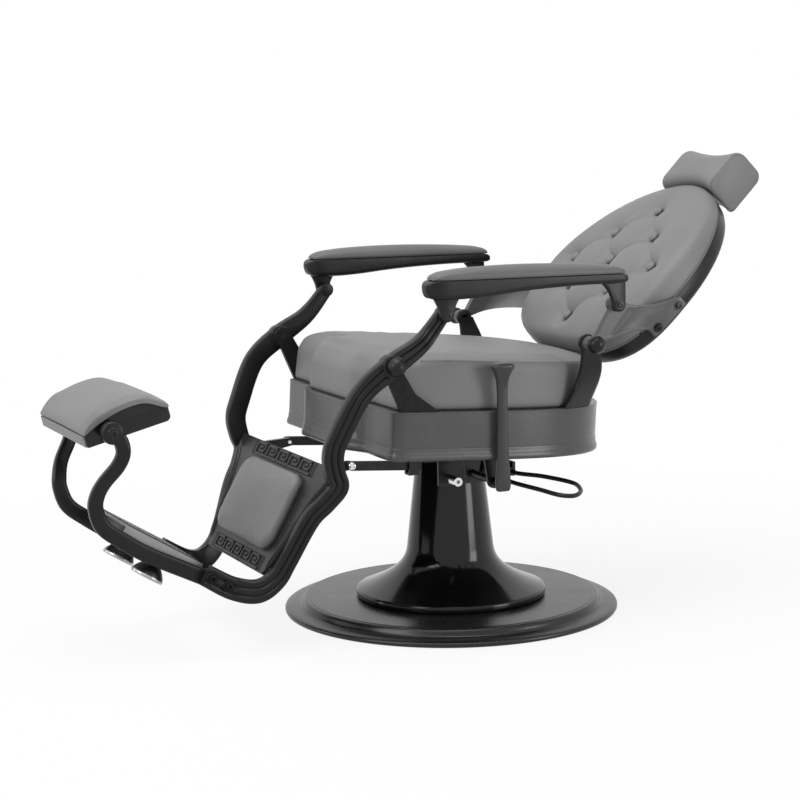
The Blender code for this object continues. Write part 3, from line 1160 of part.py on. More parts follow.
def build_pump(seat, pedal):
    """The pump's bracket, the pedal's pin, yoke and loop, and the hollow stud beside them."""
    add_piece("pump_bracket", pump_bracket(), DARK_STEEL, seat)
    start, end = PUMP_CHEEKS[0] - 0.004, PUMP_CHEEKS[1] + 0.004
    add_piece("pedal_pin", along_y(PIN_RADIUS, start, end), CHROME, seat)

    x, z = PEDAL_AXIS
    near = PUMP_CHEEKS[0] + CHEEK_THICKNESS + SIDE_PLAY
    far = PUMP_CHEEKS[1] - CHEEK_THICKNESS - SIDE_PLAY
    face = x + YOKE_REACH
    block = box((x, near, z - 0.008), (face, far, z + 0.008))
    yoke = combine(along_y(YOKE_RADIUS, near, far), [block], "UNION")
    yoke = combine(yoke, [along_y(PIN_RADIUS + PIN_PLAY, near - 0.02, far + 0.02)], "DIFFERENCE")
    add_piece("pedal_yoke", yoke, SATIN_BLACK, pedal)

    root = face + 2 * SEAT_GAP
    middle = (near + far) / 2
    first = middle - PEDAL_WIDTH * PEDAL_LOOP[-1][1] / 2
    path = [(root + PEDAL_REACH * reach, first + PEDAL_WIDTH * share, z - PEDAL_FALL * reach)
            for reach, share in smooth_run(PEDAL_LOOP, 2)]
    add_piece("pedal_loop", round_rod(path, PEDAL_ROD_RADIUS, 6), SATIN_BLACK, pedal)

    foot = PUMP_PLATE_X + CHEEK_THICKNESS + SEAT_GAP
    tip = foot + STUD_LENGTH
    add_piece("lock_stud", turned([
        (0, foot), (STUD_RADIUS, foot), (STUD_RADIUS, tip - 0.001), (STUD_RADIUS - 0.001, tip),
        (STUD_BORE, tip), (STUD_BORE, tip - STUD_LENGTH / 2), (0, tip - STUD_LENGTH / 2)], 18,
        across(STUD_CENTRE, 1)), CHROME, seat)


SATIN_BLACK = finish_of("satin_black", 0.030, 0.42, 0.0)
GLOSS_BLACK = finish_of("gloss_black", 0.012, 0.10, 0.0)
DARK_STEEL = finish_of("dark_steel", 0.070, 0.45, 1.0)
CHROME = finish_of("chrome", 0.80, 0.12, 1.0)
BRIGHT_STEEL = finish_of("bright_steel", 0.62, 0.30, 1.0)
LEATHER = finish_of("leather", 0.17, 0.48, 0.0)
LEATHER_DARK = finish_of("leather_dark", 0.06, 0.45, 0.0)
PLYWOOD = finish_of("plywood", (0.35, 0.24, 0.14), 0.70, 0.0)
BLACK_BOARD = finish_of("black_board", 0.028, 0.50, 0.0)


def build_chair():
    clear_scene()
    root = axis_empty("base_axis", (0, 0, 0))
    lift = axis_empty("lift_axis", (0, 0, BELL_TOP), root)
    seat = axis_empty("swivel_axis", (0, 0, BELL_TOP), lift)
    back = axis_empty("recline_axis", (0, *REAR_PIVOT), seat)
    headrest = axis_empty("headrest_axis", (0, *back_point(BACK_UP, POST_DEPTH)), back)
    arms = axis_empty("armrest_axis", (0, *ARM_REAR_PIN), back)
    legs = axis_empty("leg_axis", (0, *FRONT_PIVOT), seat)
    footpad = axis_empty("footpad_axis", (0, *FOOTPAD_PIVOT), legs)
    bars = axis_empty("link_bar_axis", (0, *BAR_PIN), legs)
    lever = axis_empty("lever_axis", (0, *LEVER_AXIS), seat)
    pedal = axis_empty("pedal_axis", (PEDAL_AXIS[0], 0, PEDAL_AXIS[1]), seat)

    build_base(root)
    build_column(lift, seat)
    build_seat(seat)
    build_side_brackets(seat)
    build_back(back, headrest)
    build_armrests(arms, back)
    build_legs(legs, footpad, bars)
    for letter, side in SIDES:
        add_piece(f"bar_guide_{letter}", bar_guide(side), DARK_STEEL, seat)
    build_lever(seat, lever)
    build_pump(seat, pedal)


build_chair()
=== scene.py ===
"""Looks of the barber chair: finishes, upholstery, castings, fasteners and the studio round them."""

from math import cos, exp, hypot, pi, radians, sin

import bmesh
import bpy
from mathutils import Matrix, Vector


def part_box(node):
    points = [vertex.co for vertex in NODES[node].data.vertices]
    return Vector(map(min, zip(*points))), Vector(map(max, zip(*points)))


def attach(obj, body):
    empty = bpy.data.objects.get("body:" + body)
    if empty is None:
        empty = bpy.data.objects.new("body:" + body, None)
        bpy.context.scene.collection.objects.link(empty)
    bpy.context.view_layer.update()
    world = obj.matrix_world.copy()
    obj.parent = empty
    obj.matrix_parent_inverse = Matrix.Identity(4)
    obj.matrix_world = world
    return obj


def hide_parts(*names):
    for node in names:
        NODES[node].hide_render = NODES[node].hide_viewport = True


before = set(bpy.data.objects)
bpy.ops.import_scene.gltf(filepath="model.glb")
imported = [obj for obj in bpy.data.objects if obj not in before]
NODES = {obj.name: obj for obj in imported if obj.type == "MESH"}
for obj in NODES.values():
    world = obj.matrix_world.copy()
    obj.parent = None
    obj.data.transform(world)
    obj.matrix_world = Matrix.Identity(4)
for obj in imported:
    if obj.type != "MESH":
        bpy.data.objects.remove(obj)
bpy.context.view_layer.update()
SIDES = (("L", 1), ("R", -1))

# Sizes shared with the frame, in metres; (y, z) points lie in the side view
SEAT_GAP = 0.0003  # between faces that rest on each other
BASE_RADIUS, PLATE_RADIUS, PLATE_HEIGHT = 0.325, 0.290, 0.0266
SKIRT_RADIUS, LIP_HEIGHT, FLARE_HEIGHT, BELL_WALL = 0.185, 0.015, 0.083, 0.005
NECK_RADIUS, BELL_TOP_RADIUS, BELL_TOP = 0.0935, 0.0655, 0.292
SEAT_HEIGHT, SEAT_TILT = 0.422, radians(3.55)
PAN_HALF_WIDTH, PAN_FRONT, PAN_REAR, PAN_SIDE_END, PAN_HEIGHT = 0.262, 0.232, 0.270, -0.020, 0.0905
NOSE_DEPTH, NOSE_FLAT, NOSE_HALF_WIDTH, REAR_POWER, CORNER_RADIUS = 0.030, 0.085, 0.155, 2.7, 0.022
CUSHION_INSET, CUSHION_FOOT, CUSHION_EDGE, CUSHION_CROWN, CUSHION_TAPER = 0.012, 0.0066, 0.083, 0.007, 0.028
FRONT_PIVOT, REAR_PIVOT = (-0.2410, 0.5214), (0.1614, 0.5354)
ARM_REAR_PIN, ARM_FRONT_PIN = (0.2112, 0.6060), (-0.1397, 0.6080)
BRACKET_IN, BRACKET_OUT, LINK_IN, LINK_OUT, TAB_IN, TAB_OUT = 0.252, 0.262, 0.2625, 0.2825, 0.2830, 0.2940
EYE_RADIUS, ARM_EYE_RADIUS, BALL_RADIUS, EYE_PROUD = 0.018, 0.0135, 0.017, 0.0008
REAR_FOOT = (0.120, 0.188)
ARM_X, ARM_HALF_WIDTH, ARM_DEPTH, ARM_NOSE, ARM_TAIL = 0.280, 0.025, 0.034, 0.040, 0.013
BACK_CENTRE, BACK_RECLINE = (0.381, 0.6174), radians(45.0)
BACK_HALF_WIDTH, BACK_UP, BACK_DOWN, LOWER_POWER = 0.230, 0.252, 0.184, 0.64
BACK_EDGE, BACK_CROWN, BACK_THINNING = 0.046, 0.010, 0.56
TUFT_STEP_X, TUFT_STEP_Z, TUFT_CENTRE = 0.074, 0.0717, 0.018
SHELL_DEPTH, SHELL_SIDE = 0.040, 0.022
BACK_BOLTS, BACK_FLANGE, FLANGE_START = (-0.026, -0.083), 0.010, 0.003
HEADREST_HALF_WIDTH, HEADREST_TOP, HEADREST_FRONT, HEADREST_REAR = 0.0925, 0.342, 0.032, 0.056
HEADREST_EDGES, HEADREST_GAP, HEADREST_SAG = (0.012, 0.019, 0.029, 0.019), 0.004, 0.006
CALF_CENTRE, CALF_LEAN = (-0.3925, 0.240), radians(30.0)
FOOTPAD_PIVOT, FOOTPAD_TILT = (-0.7226, 0.4260), radians(14.0)
FOOT_PLATE_REAR, FOOT_PLATE_FRONT = (-0.545, 0.163), (-0.684, 0.249)
GLIDE_X, GLIDE_ALONG, GLIDE_DROP, GLIDE_RADIUS = 0.0865, 0.079, 0.060, 0.0315
BAR_PIN, BAR_X = (-0.2745, 0.3275), 0.159
LEVER_AXIS, LEVER_LENGTH, LEVER_GRIP, LEVER_X = (-0.0235, 0.290), 0.224, 0.0210, 0.2745

# Sizes of the scene's own fasteners, and the short simulation of the covers
WASHER_HEIGHT, BOLT_SIDES = 0.0018, 48
SWELL_PRESSURE, SWELL_FRAMES = 6.0, 15


# Shader helpers

def put(tree, kind, inputs=None, **settings):
    """A node with its settings and inputs; an input is a value or another node's output."""
    node = tree.nodes.new(kind)
    for key, value in settings.items():
        setattr(node, key, value)
    for key, value in (inputs or {}).items():
        if isinstance(value, bpy.types.NodeSocket):
            tree.links.new(value, node.inputs[key])
        else:
            node.inputs[key].default_value = value
    return node


def figure(tree, operation, a, b):
    """The output of a math node with two values."""
    return put(tree, "ShaderNodeMath", {0: a, 1: b}, operation=operation).outputs[0]


def spread(tree, value, low=0.0, high=1.0, to_low=0.0, to_high=1.0):
    """A value carried over from one range to another."""
    return put(tree, "ShaderNodeMapRange", {"Value": value, "From Min": low, "From Max": high,
                                            "To Min": to_low, "To Max": to_high}).outputs[0]


def noise(tree, place, scale, detail, rough=0.5):
    return put(tree, "ShaderNodeTexNoise", {"Vector": place, "Scale": scale, "Detail": detail,
                                            "Roughness": rough}).outputs["Fac"]


def relief(tree, strength, distance, height):
    return put(tree, "ShaderNodeBump", {"Strength": strength, "Distance": distance, "Height": height}).outputs[0]


def shader_group(name, tones, **values):
    """A group that takes colours and values and puts out a colour, a roughness and a normal; its inputs and places."""
    group = bpy.data.node_groups.new(name, "ShaderNodeTree")
    for tone in tones:
        group.interface.new_socket(tone, in_out="INPUT", socket_type="NodeSocketColor")
    for socket, value in values.items():
        kind = "Vector" if isinstance(value, tuple) else "Float"
        group.interface.new_socket(socket, in_out="INPUT", socket_type=f"NodeSocket{kind}").default_value = value
    for socket, kind in (("Color", "Color"), ("Roughness", "Float"), ("Normal", "Vector")):
        group.interface.new_socket(socket, in_out="OUTPUT", socket_type=f"NodeSocket{kind}")
    return group, group.nodes.new("NodeGroupInput").outputs, put(group, "ShaderNodeTexCoord").outputs["Object"]


def blend_tones(group, share, low, high):
    """A colour between two, by a share."""
    tone = put(group, "ShaderNodeMix", {"Factor": share}, data_type="RGBA")
    for socket, value in ((tone.inputs[6], low), (tone.inputs[7], high)):
        group.links.new(value, socket)
    return tone.outputs[2]


def give_out(group, colour, rough, normal):
    put(group, "NodeGroupOutput", {"Color": colour, "Roughness": rough, "Normal": normal})
    return group


def hide_group():
    """Leather: pebbled grain, faint broad mottling and a roughness that follows the pores."""
    group, given, place = shader_group("hide", ("Dark", "Light"), Grain=620.0, Relief=0.22)
    pores = put(group, "ShaderNodeTexVoronoi", {"Vector": place, "Scale": given["Grain"]},
                feature="SMOOTH_F1").outputs["Distance"]
    creases, mottle = noise(group, place, 160.0, 4.0, 0.6), noise(group, place, 7.0, 3.0, 0.55)
    share = put(group, "ShaderNodeMix", {"Factor": 0.35, "A": mottle, "B": creases}).outputs[0]
    tone = blend_tones(group, spread(group, share, 0.32, 0.68), given["Dark"], given["Light"])
    bump = relief(group, given["Relief"], 0.0005, figure(group, "ADD", pores, creases))
    return give_out(group, tone, spread(group, pores, to_low=0.54, to_high=0.42), bump)


def paint_group():
    """Painted castings: a fine powder-coat texture, dull patches, and convex edges lightened, part wear where the coat
    is thin and part painted highlight.
    """
    group, given, place = shader_group("paint", ("Dark", "Light", "WornAndLit"), Wear=0.5, Smooth=0.34, Dull=0.50,
                                       Relief=0.10)
    patch, scuff, speck = (noise(group, place, 11.0, 5.0, 0.6), noise(group, place, 70.0, 3.0),
                           noise(group, place, 1100.0, 2.0))
    ridge = put(group, "ShaderNodeNewGeometry").outputs["Pointiness"]
    # Convex edges are lightened by pointiness: part wear, part a painted highlight along the edges
    worn_and_lit_edge = figure(group, "MULTIPLY", spread(group, ridge, 0.515, 0.60), scuff)
    worn_and_lit_share = figure(group, "MULTIPLY", worn_and_lit_edge, given["Wear"])
    coat = blend_tones(group, patch, given["Dark"], given["Light"])
    return give_out(group, blend_tones(group, worn_and_lit_share, coat, given["WornAndLit"]),
                    spread(group, patch, 0.3, 0.7, given["Smooth"], given["Dull"]),
                    relief(group, given["Relief"], 0.0003, speck))


def metal_group():
    """Bare metal: hairlines along one direction that vary tone and roughness."""
    group, given, place = shader_group("metal", ("Dark", "Light"), Smooth=0.12, Dull=0.3,
                                       Hairlines=(900.0, 30.0, 30.0))
    drawn = put(group, "ShaderNodeVectorMath", {0: place, 1: given["Hairlines"]}, operation="MULTIPLY").outputs[0]
    lines = noise(group, drawn, 1.0, 3.0)
    return give_out(group, blend_tones(group, lines, given["Dark"], given["Light"]),
                    spread(group, lines, 0.3, 0.7, given["Smooth"], given["Dull"]),
                    relief(group, 0.05, 0.0002, lines))


HIDE, PAINT, METAL = hide_group(), paint_group(), metal_group()


def finish(name, group, tones, rough=(), shine=0.5, metallic=0.0, **given):
    """A Principled material on a shared group: greys (dark, light, and a pale edge grey that is part wear, part painted
    highlight), roughness (smooth, dull), other inputs.
    """
    made = bpy.data.materials.new(name)
    made.use_nodes = True
    tree = made.node_tree
    shader = tree.nodes["Principled BSDF"]
    shader.inputs["Specular IOR Level"].default_value = shine
    shader.inputs["Metallic"].default_value = metallic
    source = tree.nodes.new("ShaderNodeGroup")
    source.node_tree = group
    given.update(zip(("Dark", "Light", "WornAndLit"), [(tone, tone, tone, 1.0) for tone in tones]))
    given.update(zip(("Smooth", "Dull"), rough))
    for key, value in given.items():
        source.inputs[key].default_value = value
    for output, socket in (("Color", "Base Color"), ("Roughness", "Roughness"), ("Normal", "Normal")):
        tree.links.new(source.outputs[output], shader.inputs[socket])
    return made


LEATHER = finish("leather_grey", HIDE, (0.160, 0.185), shine=0.30)
LEATHER_ARM = finish("leather_armrest", HIDE, (0.098, 0.124), shine=0.35)
WELT = finish("leather_welt", HIDE, (0.115, 0.140), shine=0.30, Grain=900.0)
CASTING = finish("casting_black", PAINT, (0.006, 0.011, 0.045), (0.25, 0.40), 0.22)
# The back brackets' pale grey: partly a grey paint like the pan's, partly painted light standing in for the light from
# the right
BRACKET_GREY_AND_LIT = finish("bracket_grey_and_lit", PAINT, (0.082, 0.102, 0.14), (0.28, 0.40), 0.30)
BRACKET_BLACK = finish("bracket_black", PAINT, (0.004, 0.008, 0.04), (0.25, 0.40), 0.10)
# The lever's black satin lightened to a grey: painted light standing in for the highlight along it
LEVER_PAINT_LIT = finish("lever_satin_painted_light", PAINT, (0.034, 0.044, 0.09), (0.22, 0.32), 0.26)
PAN_PAINT = finish("pan_grey", PAINT, (0.056, 0.070, 0.10), (0.22, 0.32), 0.36, Wear=0.12)
BASE_PAINT = finish("base_satin", PAINT, (0.008, 0.013, 0.02), (0.24, 0.30), 0.34, Wear=0.1, Relief=0.02)
CHEEK = finish("cheek_gloss", PAINT, (0.006, 0.012, 0.03), (0.14, 0.26), 0.28, Relief=0.05)
ENAMEL = finish("bell_enamel", PAINT, (0.0040, 0.0055, 0.01), (0.10, 0.15), 0.30, Wear=0.1, Relief=0.0)
BOLT_BLACK = finish("bolt_black", PAINT, (0.006, 0.010, 0.07), (0.22, 0.32), 0.24, Wear=0.7)
GROUND = finish("carved_ground", PAINT, (0.008, 0.013, 0.02), (0.4, 0.6), 0.14)
CHROME = finish("chrome", METAL, (0.62, 0.80), (0.08, 0.16), metallic=1.0)
RIM_STEEL = finish("rim_steel", METAL, (0.34, 0.46), (0.24, 0.34), metallic=1.0)
STEEL_DARK = finish("steel_dark", METAL, (0.02, 0.035), (0.3, 0.45), metallic=1.0)
TREAD = finish("tread_steel", METAL, (0.20, 0.32), (0.28, 0.42), metallic=1.0)
# The seat board is coloured near black: painted shade in the gap between the cushion and the pan
SHADED_BOARD = finish("board_painted_shade", METAL, (0.010, 0.018), (0.6, 0.75), 0.2, Hairlines=(8.0, 8.0, 900.0))


# Shape helpers

def mm(*rows):
    """Rows of millimetres as tuples of metres."""
    return [tuple(value / 1000 for value in row) for row in rows]


def shifted(rows, first, second=0.0):
    return [(a + first, b + second) for a, b in rows]


def inward(count):
    """Shares that step from a rim towards the middle, without either end."""
    return [1 - k / count for k in range(1, count)]


def smooth_run(points, steps):
    """Points of a smooth curve through the given ones."""
    last = len(points) - 1
    run = []
    for i in range(last):
        a, b, c, d = points[max(i - 1, 0)], points[i], points[i + 1], points[min(i + 2, last)]
        for k in range(steps):
            t = k / steps
            run.append(tuple(
                0.5 * (2 * q + (r - p) * t + (2 * p - 5 * q + 4 * r - s) * t ** 2
                       + (3 * q - p - 3 * r + s) * t ** 3)
                for p, q, r, s in zip(a, b, c, d)))
    run.append(tuple(points[-1]))
    return run


def ease(value, start, end):
    """A share that rises smoothly from 0 at the start to 1 at the end."""
    t = max(0.0, min(1.0, (value - start) / (end - start)))
    return t * t * (3 - 2 * t)


def arc(centre, radius, start, end, steps):
    points = []
    for k in range(steps + 1):
        angle = radians(start + (end - start) * k / steps)
        points.append((centre[0] + radius * cos(angle), centre[1] + radius * sin(angle)))
    return points


def rounded_box(low, high, radius, steps=6):
    """A rectangle with round corners; radius is one value, or four from the low right corner round."""
    (a, b), (c, d) = low, high
    most = min(0.49 * (c - a), 0.49 * (d - b))
    radii = [min(r, most) for r in (radius if isinstance(radius, tuple) else (radius,) * 4)]
    corners = ((c, b, -1, 1), (c, d, -1, -1), (a, d, 1, -1), (a, b, 1, 1))
    points = []
    for k, (x, y, to_x, to_y) in enumerate(corners):
        points += arc((x + to_x * radii[k], y + to_y * radii[k]), radii[k], 90 * k - 90, 90 * k, steps)
    return points


def resample(outline, count):
    """A closed outline as evenly spaced points."""
    points = [Vector(p) for p in outline] + [Vector(outline[0])]
    lengths = [0.0]
    for a, b in zip(points, points[1:]):
        lengths.append(lengths[-1] + (b - a).length)
    even, i = [], 0
    for k in range(count):
        at = lengths[-1] * k / count
        while lengths[i + 1] < at:
            i += 1
        span = lengths[i + 1] - lengths[i]
        even.append(tuple(points[i].lerp(points[i + 1], (at - lengths[i]) / span if span else 0.0)))
    return even


def loft(shape, rings, tip=None):
    """Add a closed skin through rings of equal count to a bmesh."""
    rows = [[shape.verts.new(point) for point in ring] for ring in rings]
    for lower, upper in zip(rows, rows[1:]):
        for i, corner in enumerate(lower):
            j = (i + 1) % len(lower)
            shape.faces.new((corner, lower[j], upper[j], upper[i]))
    shape.faces.new(rows[0])
    if tip is None:
        shape.faces.new(rows[-1])
    else:
        top = shape.verts.new(tip)
        for i, corner in enumerate(rows[-1]):
            shape.faces.new((corner, rows[-1][(i + 1) % len(rows[-1])], top))
    return shape


def turned(shape, profile, segments=64, place=Matrix()):
    """Add a body turned about local Z from (radius, height) points; both ends are capped."""
    turns = [2 * pi * k / segments for k in range(segments)]
    return loft(shape, [[place @ Vector((max(radius, 1e-4) * cos(turn), max(radius, 1e-4) * sin(turn), height))
                         for turn in turns] for radius, height in profile])


def across(point, side, start=0.0):
    """Turn local +Z to point outwards from the middle plane, from a distance out."""
    return Matrix.Translation((side * start, *point)) @ Matrix.Rotation(side * pi / 2, 4, "Y")


def turned_to(direction):
    """Turn local +Z to a direction."""
    return Vector((0, 0, 1)).rotation_difference(Vector(direction)).to_matrix().to_4x4()


def stand(name, data, location=(0, 0, 0)):
    """An object of some data, in the scene."""
    made = bpy.data.objects.new(name, data)
    bpy.context.scene.collection.objects.link(made)
    made.location = location
    return made


def piece(name, shape, material, body, slot, replaced=(), location=(0, 0, 0), lean=0.0, crease=40.0, fill=None):
    """Make an object of a bmesh, let it ride on a body and stand for frame nodes."""
    bmesh.ops.remove_doubles(shape, verts=shape.verts, dist=1e-6)
    bmesh.ops.recalc_face_normals(shape, faces=shape.faces)
    mesh = bpy.data.meshes.new(name)
    shape.to_mesh(mesh)
    shape.free()
    mesh.materials.append(material)
    mesh.shade_smooth()
    mesh.set_sharp_from_angle(angle=radians(crease))
    made = stand(name, mesh, location)
    made.rotation_euler = (-lean, 0.0, 0.0)
    bpy.context.view_layer.update()
    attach(made, body)
    if replaced:
        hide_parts(*replaced)
    return made


def swell(made, sewn, most):
    """Let a cover swell over its filling by a short cloth simulation; points that are sewn down stay."""
    held = made.vertex_groups.new(name="sewn")
    held.add([corner.index for corner in made.data.vertices if sewn(*corner.co)], 1.0, "ADD")
    cover = made.modifiers.new("cover", "CLOTH")
    cover.settings.vertex_group_mass = held.name
    cover.settings.use_pressure = True
    cover.settings.uniform_pressure_force = SWELL_PRESSURE
    cover.settings.effector_weights.gravity = 0.0
    cover.settings.quality = 4
    cover.collision_settings.use_collision = False
    scene = bpy.context.scene
    for step in range(1, SWELL_FRAMES + 1):
        scene.frame_set(step)
    settled = made.evaluated_get(bpy.context.evaluated_depsgraph_get()).data.vertices
    moves = [there.co - here.co for here, there in zip(made.data.vertices, settled)]
    made.modifiers.remove(cover)
    made.vertex_groups.remove(held)
    for corner, move in zip(made.data.vertices, moves):
        corner.co += move * min(1.0, most / max(move.length, 1e-9))
    made.data.update()
    scene.frame_set(1)
    return made


def cord(shape, points, radius, sides=8, closed=True):
    """Add a round cord along points, closed on itself or with flat ends; its radius may follow the share along it."""
    points = [Vector(p) for p in points]
    last = len(points) - 1
    rings = []
    for i, point in enumerate(points):
        ahead = points[(i + 1) % (last + 1)] if closed or i < last else point
        back = points[i - 1] if closed or i else point
        along = (ahead - back).normalized()
        side = along.cross(Vector((0.0, 0.0, 1.0)) if abs(along.z) < 0.9 else Vector((1.0, 0.0, 0.0))).normalized()
        other = along.cross(side)
        thick = radius(i / last) if callable(radius) else radius
        rings.append([point + thick * (side * cos(2 * pi * k / sides) + other * sin(2 * pi * k / sides))
                      for k in range(sides)])
    if not closed:
        return loft(shape, rings)
    rows = [[shape.verts.new(point) for point in ring] for ring in rings]
    for i, lower in enumerate(rows):
        upper = rows[(i + 1) % len(rows)]
        for k in range(sides):
            m = (k + 1) % sides
            shape.faces.new((lower[k], lower[m], upper[m], upper[k]))
    return shape


def tab(shape, outline, inner, outer, side, soft):
    """Add a flat plate with a softened rim, from a (y, z) outline."""
    outline = resample(outline, 84)
    area = sum(a[0] * b[1] - b[0] * a[1] for a, b in zip(outline, outline[1:] + outline[:1]))
    turn = 1.0 if area > 0 else -1.0
    normals = []
    for i in range(len(outline)):
        a, b = Vector(outline[i - 1]), Vector(outline[(i + 1) % len(outline)])
        along = (b - a).normalized()
        normals.append(Vector((along.y, -along.x)) * turn)
    rings = []
    for x, inset in ((inner, soft), (inner + soft * 0.3, soft * 0.3), (inner + soft, 0.0), (outer - soft, 0.0),
                     (outer - soft * 0.3, soft * 0.3), (outer, soft)):
        rings.append([(side * x, y - n.x * inset, z - n.y * inset) for (y, z), n in zip(outline, normals)])
    loft(shape, rings)


def boss(shape, point, radius, inner, outer, side, soft=0.0015):
    """Add a round boss across the chair with softened rims."""
    turned(shape, [(0, inner), (radius - soft, inner), (radius - 0.3 * soft, inner + 0.3 * soft),
                   (radius, inner + soft), (radius, outer - soft), (radius - 0.3 * soft, outer - 0.3 * soft),
                   (radius - soft, outer), (0, outer)], 48, across(point, side))


def bolt(shape, place, radius, height, washer):
    """Add a cap screw with a hexagon socket, standing on its washer."""
    base = WASHER_HEIGHT
    turned(shape, [(0, 0), (washer, 0), (washer, 0.0010), (washer - 0.0008, base), (0, base)], BOLT_SIDES, place)
    turns = [2 * pi * k / BOLT_SIDES for k in range(BOLT_SIDES)]
    rings = [[place @ Vector((r * cos(turn), r * sin(turn), h)) for turn in turns]
             for r, h in ((radius, base), (radius, base + height - 0.0012), (radius - 0.0004, base + height - 0.0004),
                          (radius - 0.0013, base + height))]
    for size, h in ((0.56, base + height), (0.53, base + height * 0.3)):
        flats = [radius * size * cos(pi / 6) / cos(turn % (pi / 3) - pi / 6) for turn in turns]
        rings.append([place @ Vector((flat * cos(turn), flat * sin(turn), h)) for flat, turn in zip(flats, turns)])
    loft(shape, rings)


# Base, column and pan

# The base plate as (radius, height): its rim from the outer radius, its step from the inner one
PLATE_RIM = mm((-4, 0), (-1.2, 0.8), (0, 3), (0, 6.5), (-1.2, 8.8), (-4, 10), (-16, 11))
PLATE_STEP = mm((8, 11.8), (4.5, 13), (2.2, 15.5), (0.8, 19), (-0.8, 22.6), (-3.6, 25.2), (-7.8, 26.2), (-8.6, 25.8),
                (-10, 25.8), (-10.8, 26.5), (-13, 26.6))


def build_base():
    """The stepped base plate and the enamelled bell on it."""
    plate = [(0, 0), *shifted(PLATE_RIM, BASE_RADIUS), *shifted(PLATE_STEP, PLATE_RADIUS), (0, PLATE_HEIGHT)]
    piece("base_plate_paint", turned(bmesh.new(), plate, 160), BASE_PAINT, "base", "satin_black", ["base_plate"],
          crease=50)

    foot = PLATE_HEIGHT + SEAT_GAP
    flare = foot + LIP_HEIGHT
    outside = []
    for k in range(31):
        rise = (k / 30) ** 1.4
        straight = NECK_RADIUS + (BELL_TOP_RADIUS - NECK_RADIUS) * rise * FLARE_HEIGHT / (BELL_TOP - flare)
        flared = (SKIRT_RADIUS - 0.003 - NECK_RADIUS) * (1 - rise) ** 2.5
        outside.append((straight + flared, flare + FLARE_HEIGHT * rise))
    neck = outside[-1]
    outside += [(neck[0] + (BELL_TOP_RADIUS - neck[0]) * k / 6, neck[1] + (BELL_TOP - neck[1]) * k / 6)
                for k in range(1, 7)]
    lip = shifted(mm((-16, 0), (-4, 0), (-1.2, 1.2), (0, 4)), SKIRT_RADIUS, foot)
    lip += shifted(mm((0, -4.5), (-0.8, -1.8)), SKIRT_RADIUS, flare)
    inside = shifted(reversed(outside), -BELL_WALL)
    inside[-1] = (SKIRT_RADIUS - 0.016, flare - 0.003)
    piece("base_bell_enamel", turned(bmesh.new(), lip + outside + inside, 128), ENAMEL, "base", "gloss_black",
          ["base_bell"], crease=55)


def seat_outline(inset):
    """The plan of the pan, drawn in by an inset; point for point the same run at every inset."""
    half, front, rear = PAN_HALF_WIDTH - inset, PAN_FRONT - inset, PAN_REAR - inset
    corner = max(CORNER_RADIUS - inset, CORNER_RADIUS / 4)
    right = [(NOSE_FLAT * (k + 0.5) / 8, -front - NOSE_DEPTH) for k in range(8)]
    for k in range(25):
        t = k / 24
        right.append((NOSE_FLAT + (NOSE_HALF_WIDTH - NOSE_FLAT) * t,
                      -front - NOSE_DEPTH * (0.5 + 0.5 * cos(pi * t))))
    right += [(NOSE_HALF_WIDTH + (half - corner - NOSE_HALF_WIDTH) * k / 8, -front) for k in range(1, 8)]
    right += arc((half - corner, corner - front), corner, -90, 0, 12)
    right += [(half, corner - front + (PAN_SIDE_END + front - corner) * k / 14) for k in range(1, 15)]
    for k in range(1, 48):
        angle = pi / 2 * k / 48
        right.append((half * cos(angle) ** (2 / REAR_POWER),
                      PAN_SIDE_END + (rear - PAN_SIDE_END) * sin(angle) ** (2 / REAR_POWER)))
    return right + [(0.0, rear)] + [(-x, y) for x, y in reversed(right)]


ON_SEAT = {"location": (0, 0, SEAT_HEIGHT), "lean": SEAT_TILT}


# The pan as (rise, inset): its flared skirt and fine step from the foot, its rolled lip from the top
PAN_SKIRT = mm((0, 1.5), (0.6, -1.6), (2.6, -3.6), (6, -4), (9.5, -3.6), (12.5, -2.4), (15, -1.4), (18.5, -1),
               (22.6, -1), (23.4, -0.8), (24, 0))
PAN_LIP = mm((-4.4, 0), (-4, -0.6), (-1.2, -0.6), (-0.3, 0.4), (0, 2.2), (0, 16))


def build_pan():
    """The pan, with straight walls between its skirt and its lip."""
    levels = PAN_SKIRT + [(PAN_HEIGHT * 0.5, 0.0)] + shifted(PAN_LIP, PAN_HEIGHT)
    rings = [[(x, y, rise - PAN_HEIGHT) for x, y in seat_outline(inset)] for rise, inset in levels]
    piece("seat_pan_paint", loft(bmesh.new(), rings), PAN_PAINT, "seat", "satin_black", ["seat_pan"], crease=48,
          **ON_SEAT)


# Upholstery

# Side profiles of the seat cushion as (inset, height): boxed with a seam at its sides, rolled over at its front
BOXED = mm((3, -4.6), (0, -3.8), (-1.4, -0.6), (-1.6, 7), (-0.4, 24), (1, 43), (0.2, 60), (0.4, 70), (1.6, 76.5),
           (4, 80), (5.6, 80.1), (6.6, 81.6), (10.5, 83.8), (17, 85.2), (27, 86.2))
ROLLED = mm((3, -4.6), (0, -3.8), (-1.4, -0.6), (-1.6, 7), (-0.6, 22), (0.4, 40), (1.8, 53), (4.4, 63), (8, 70.5),
            (11.5, 75.2), (13.5, 77.2), (15.8, 79), (19.5, 81.3), (23, 83), (27, 84.5))
SEAM_LEVEL, CUSHION_DRAW, CROWN_Y = 10, 0.03, 0.015


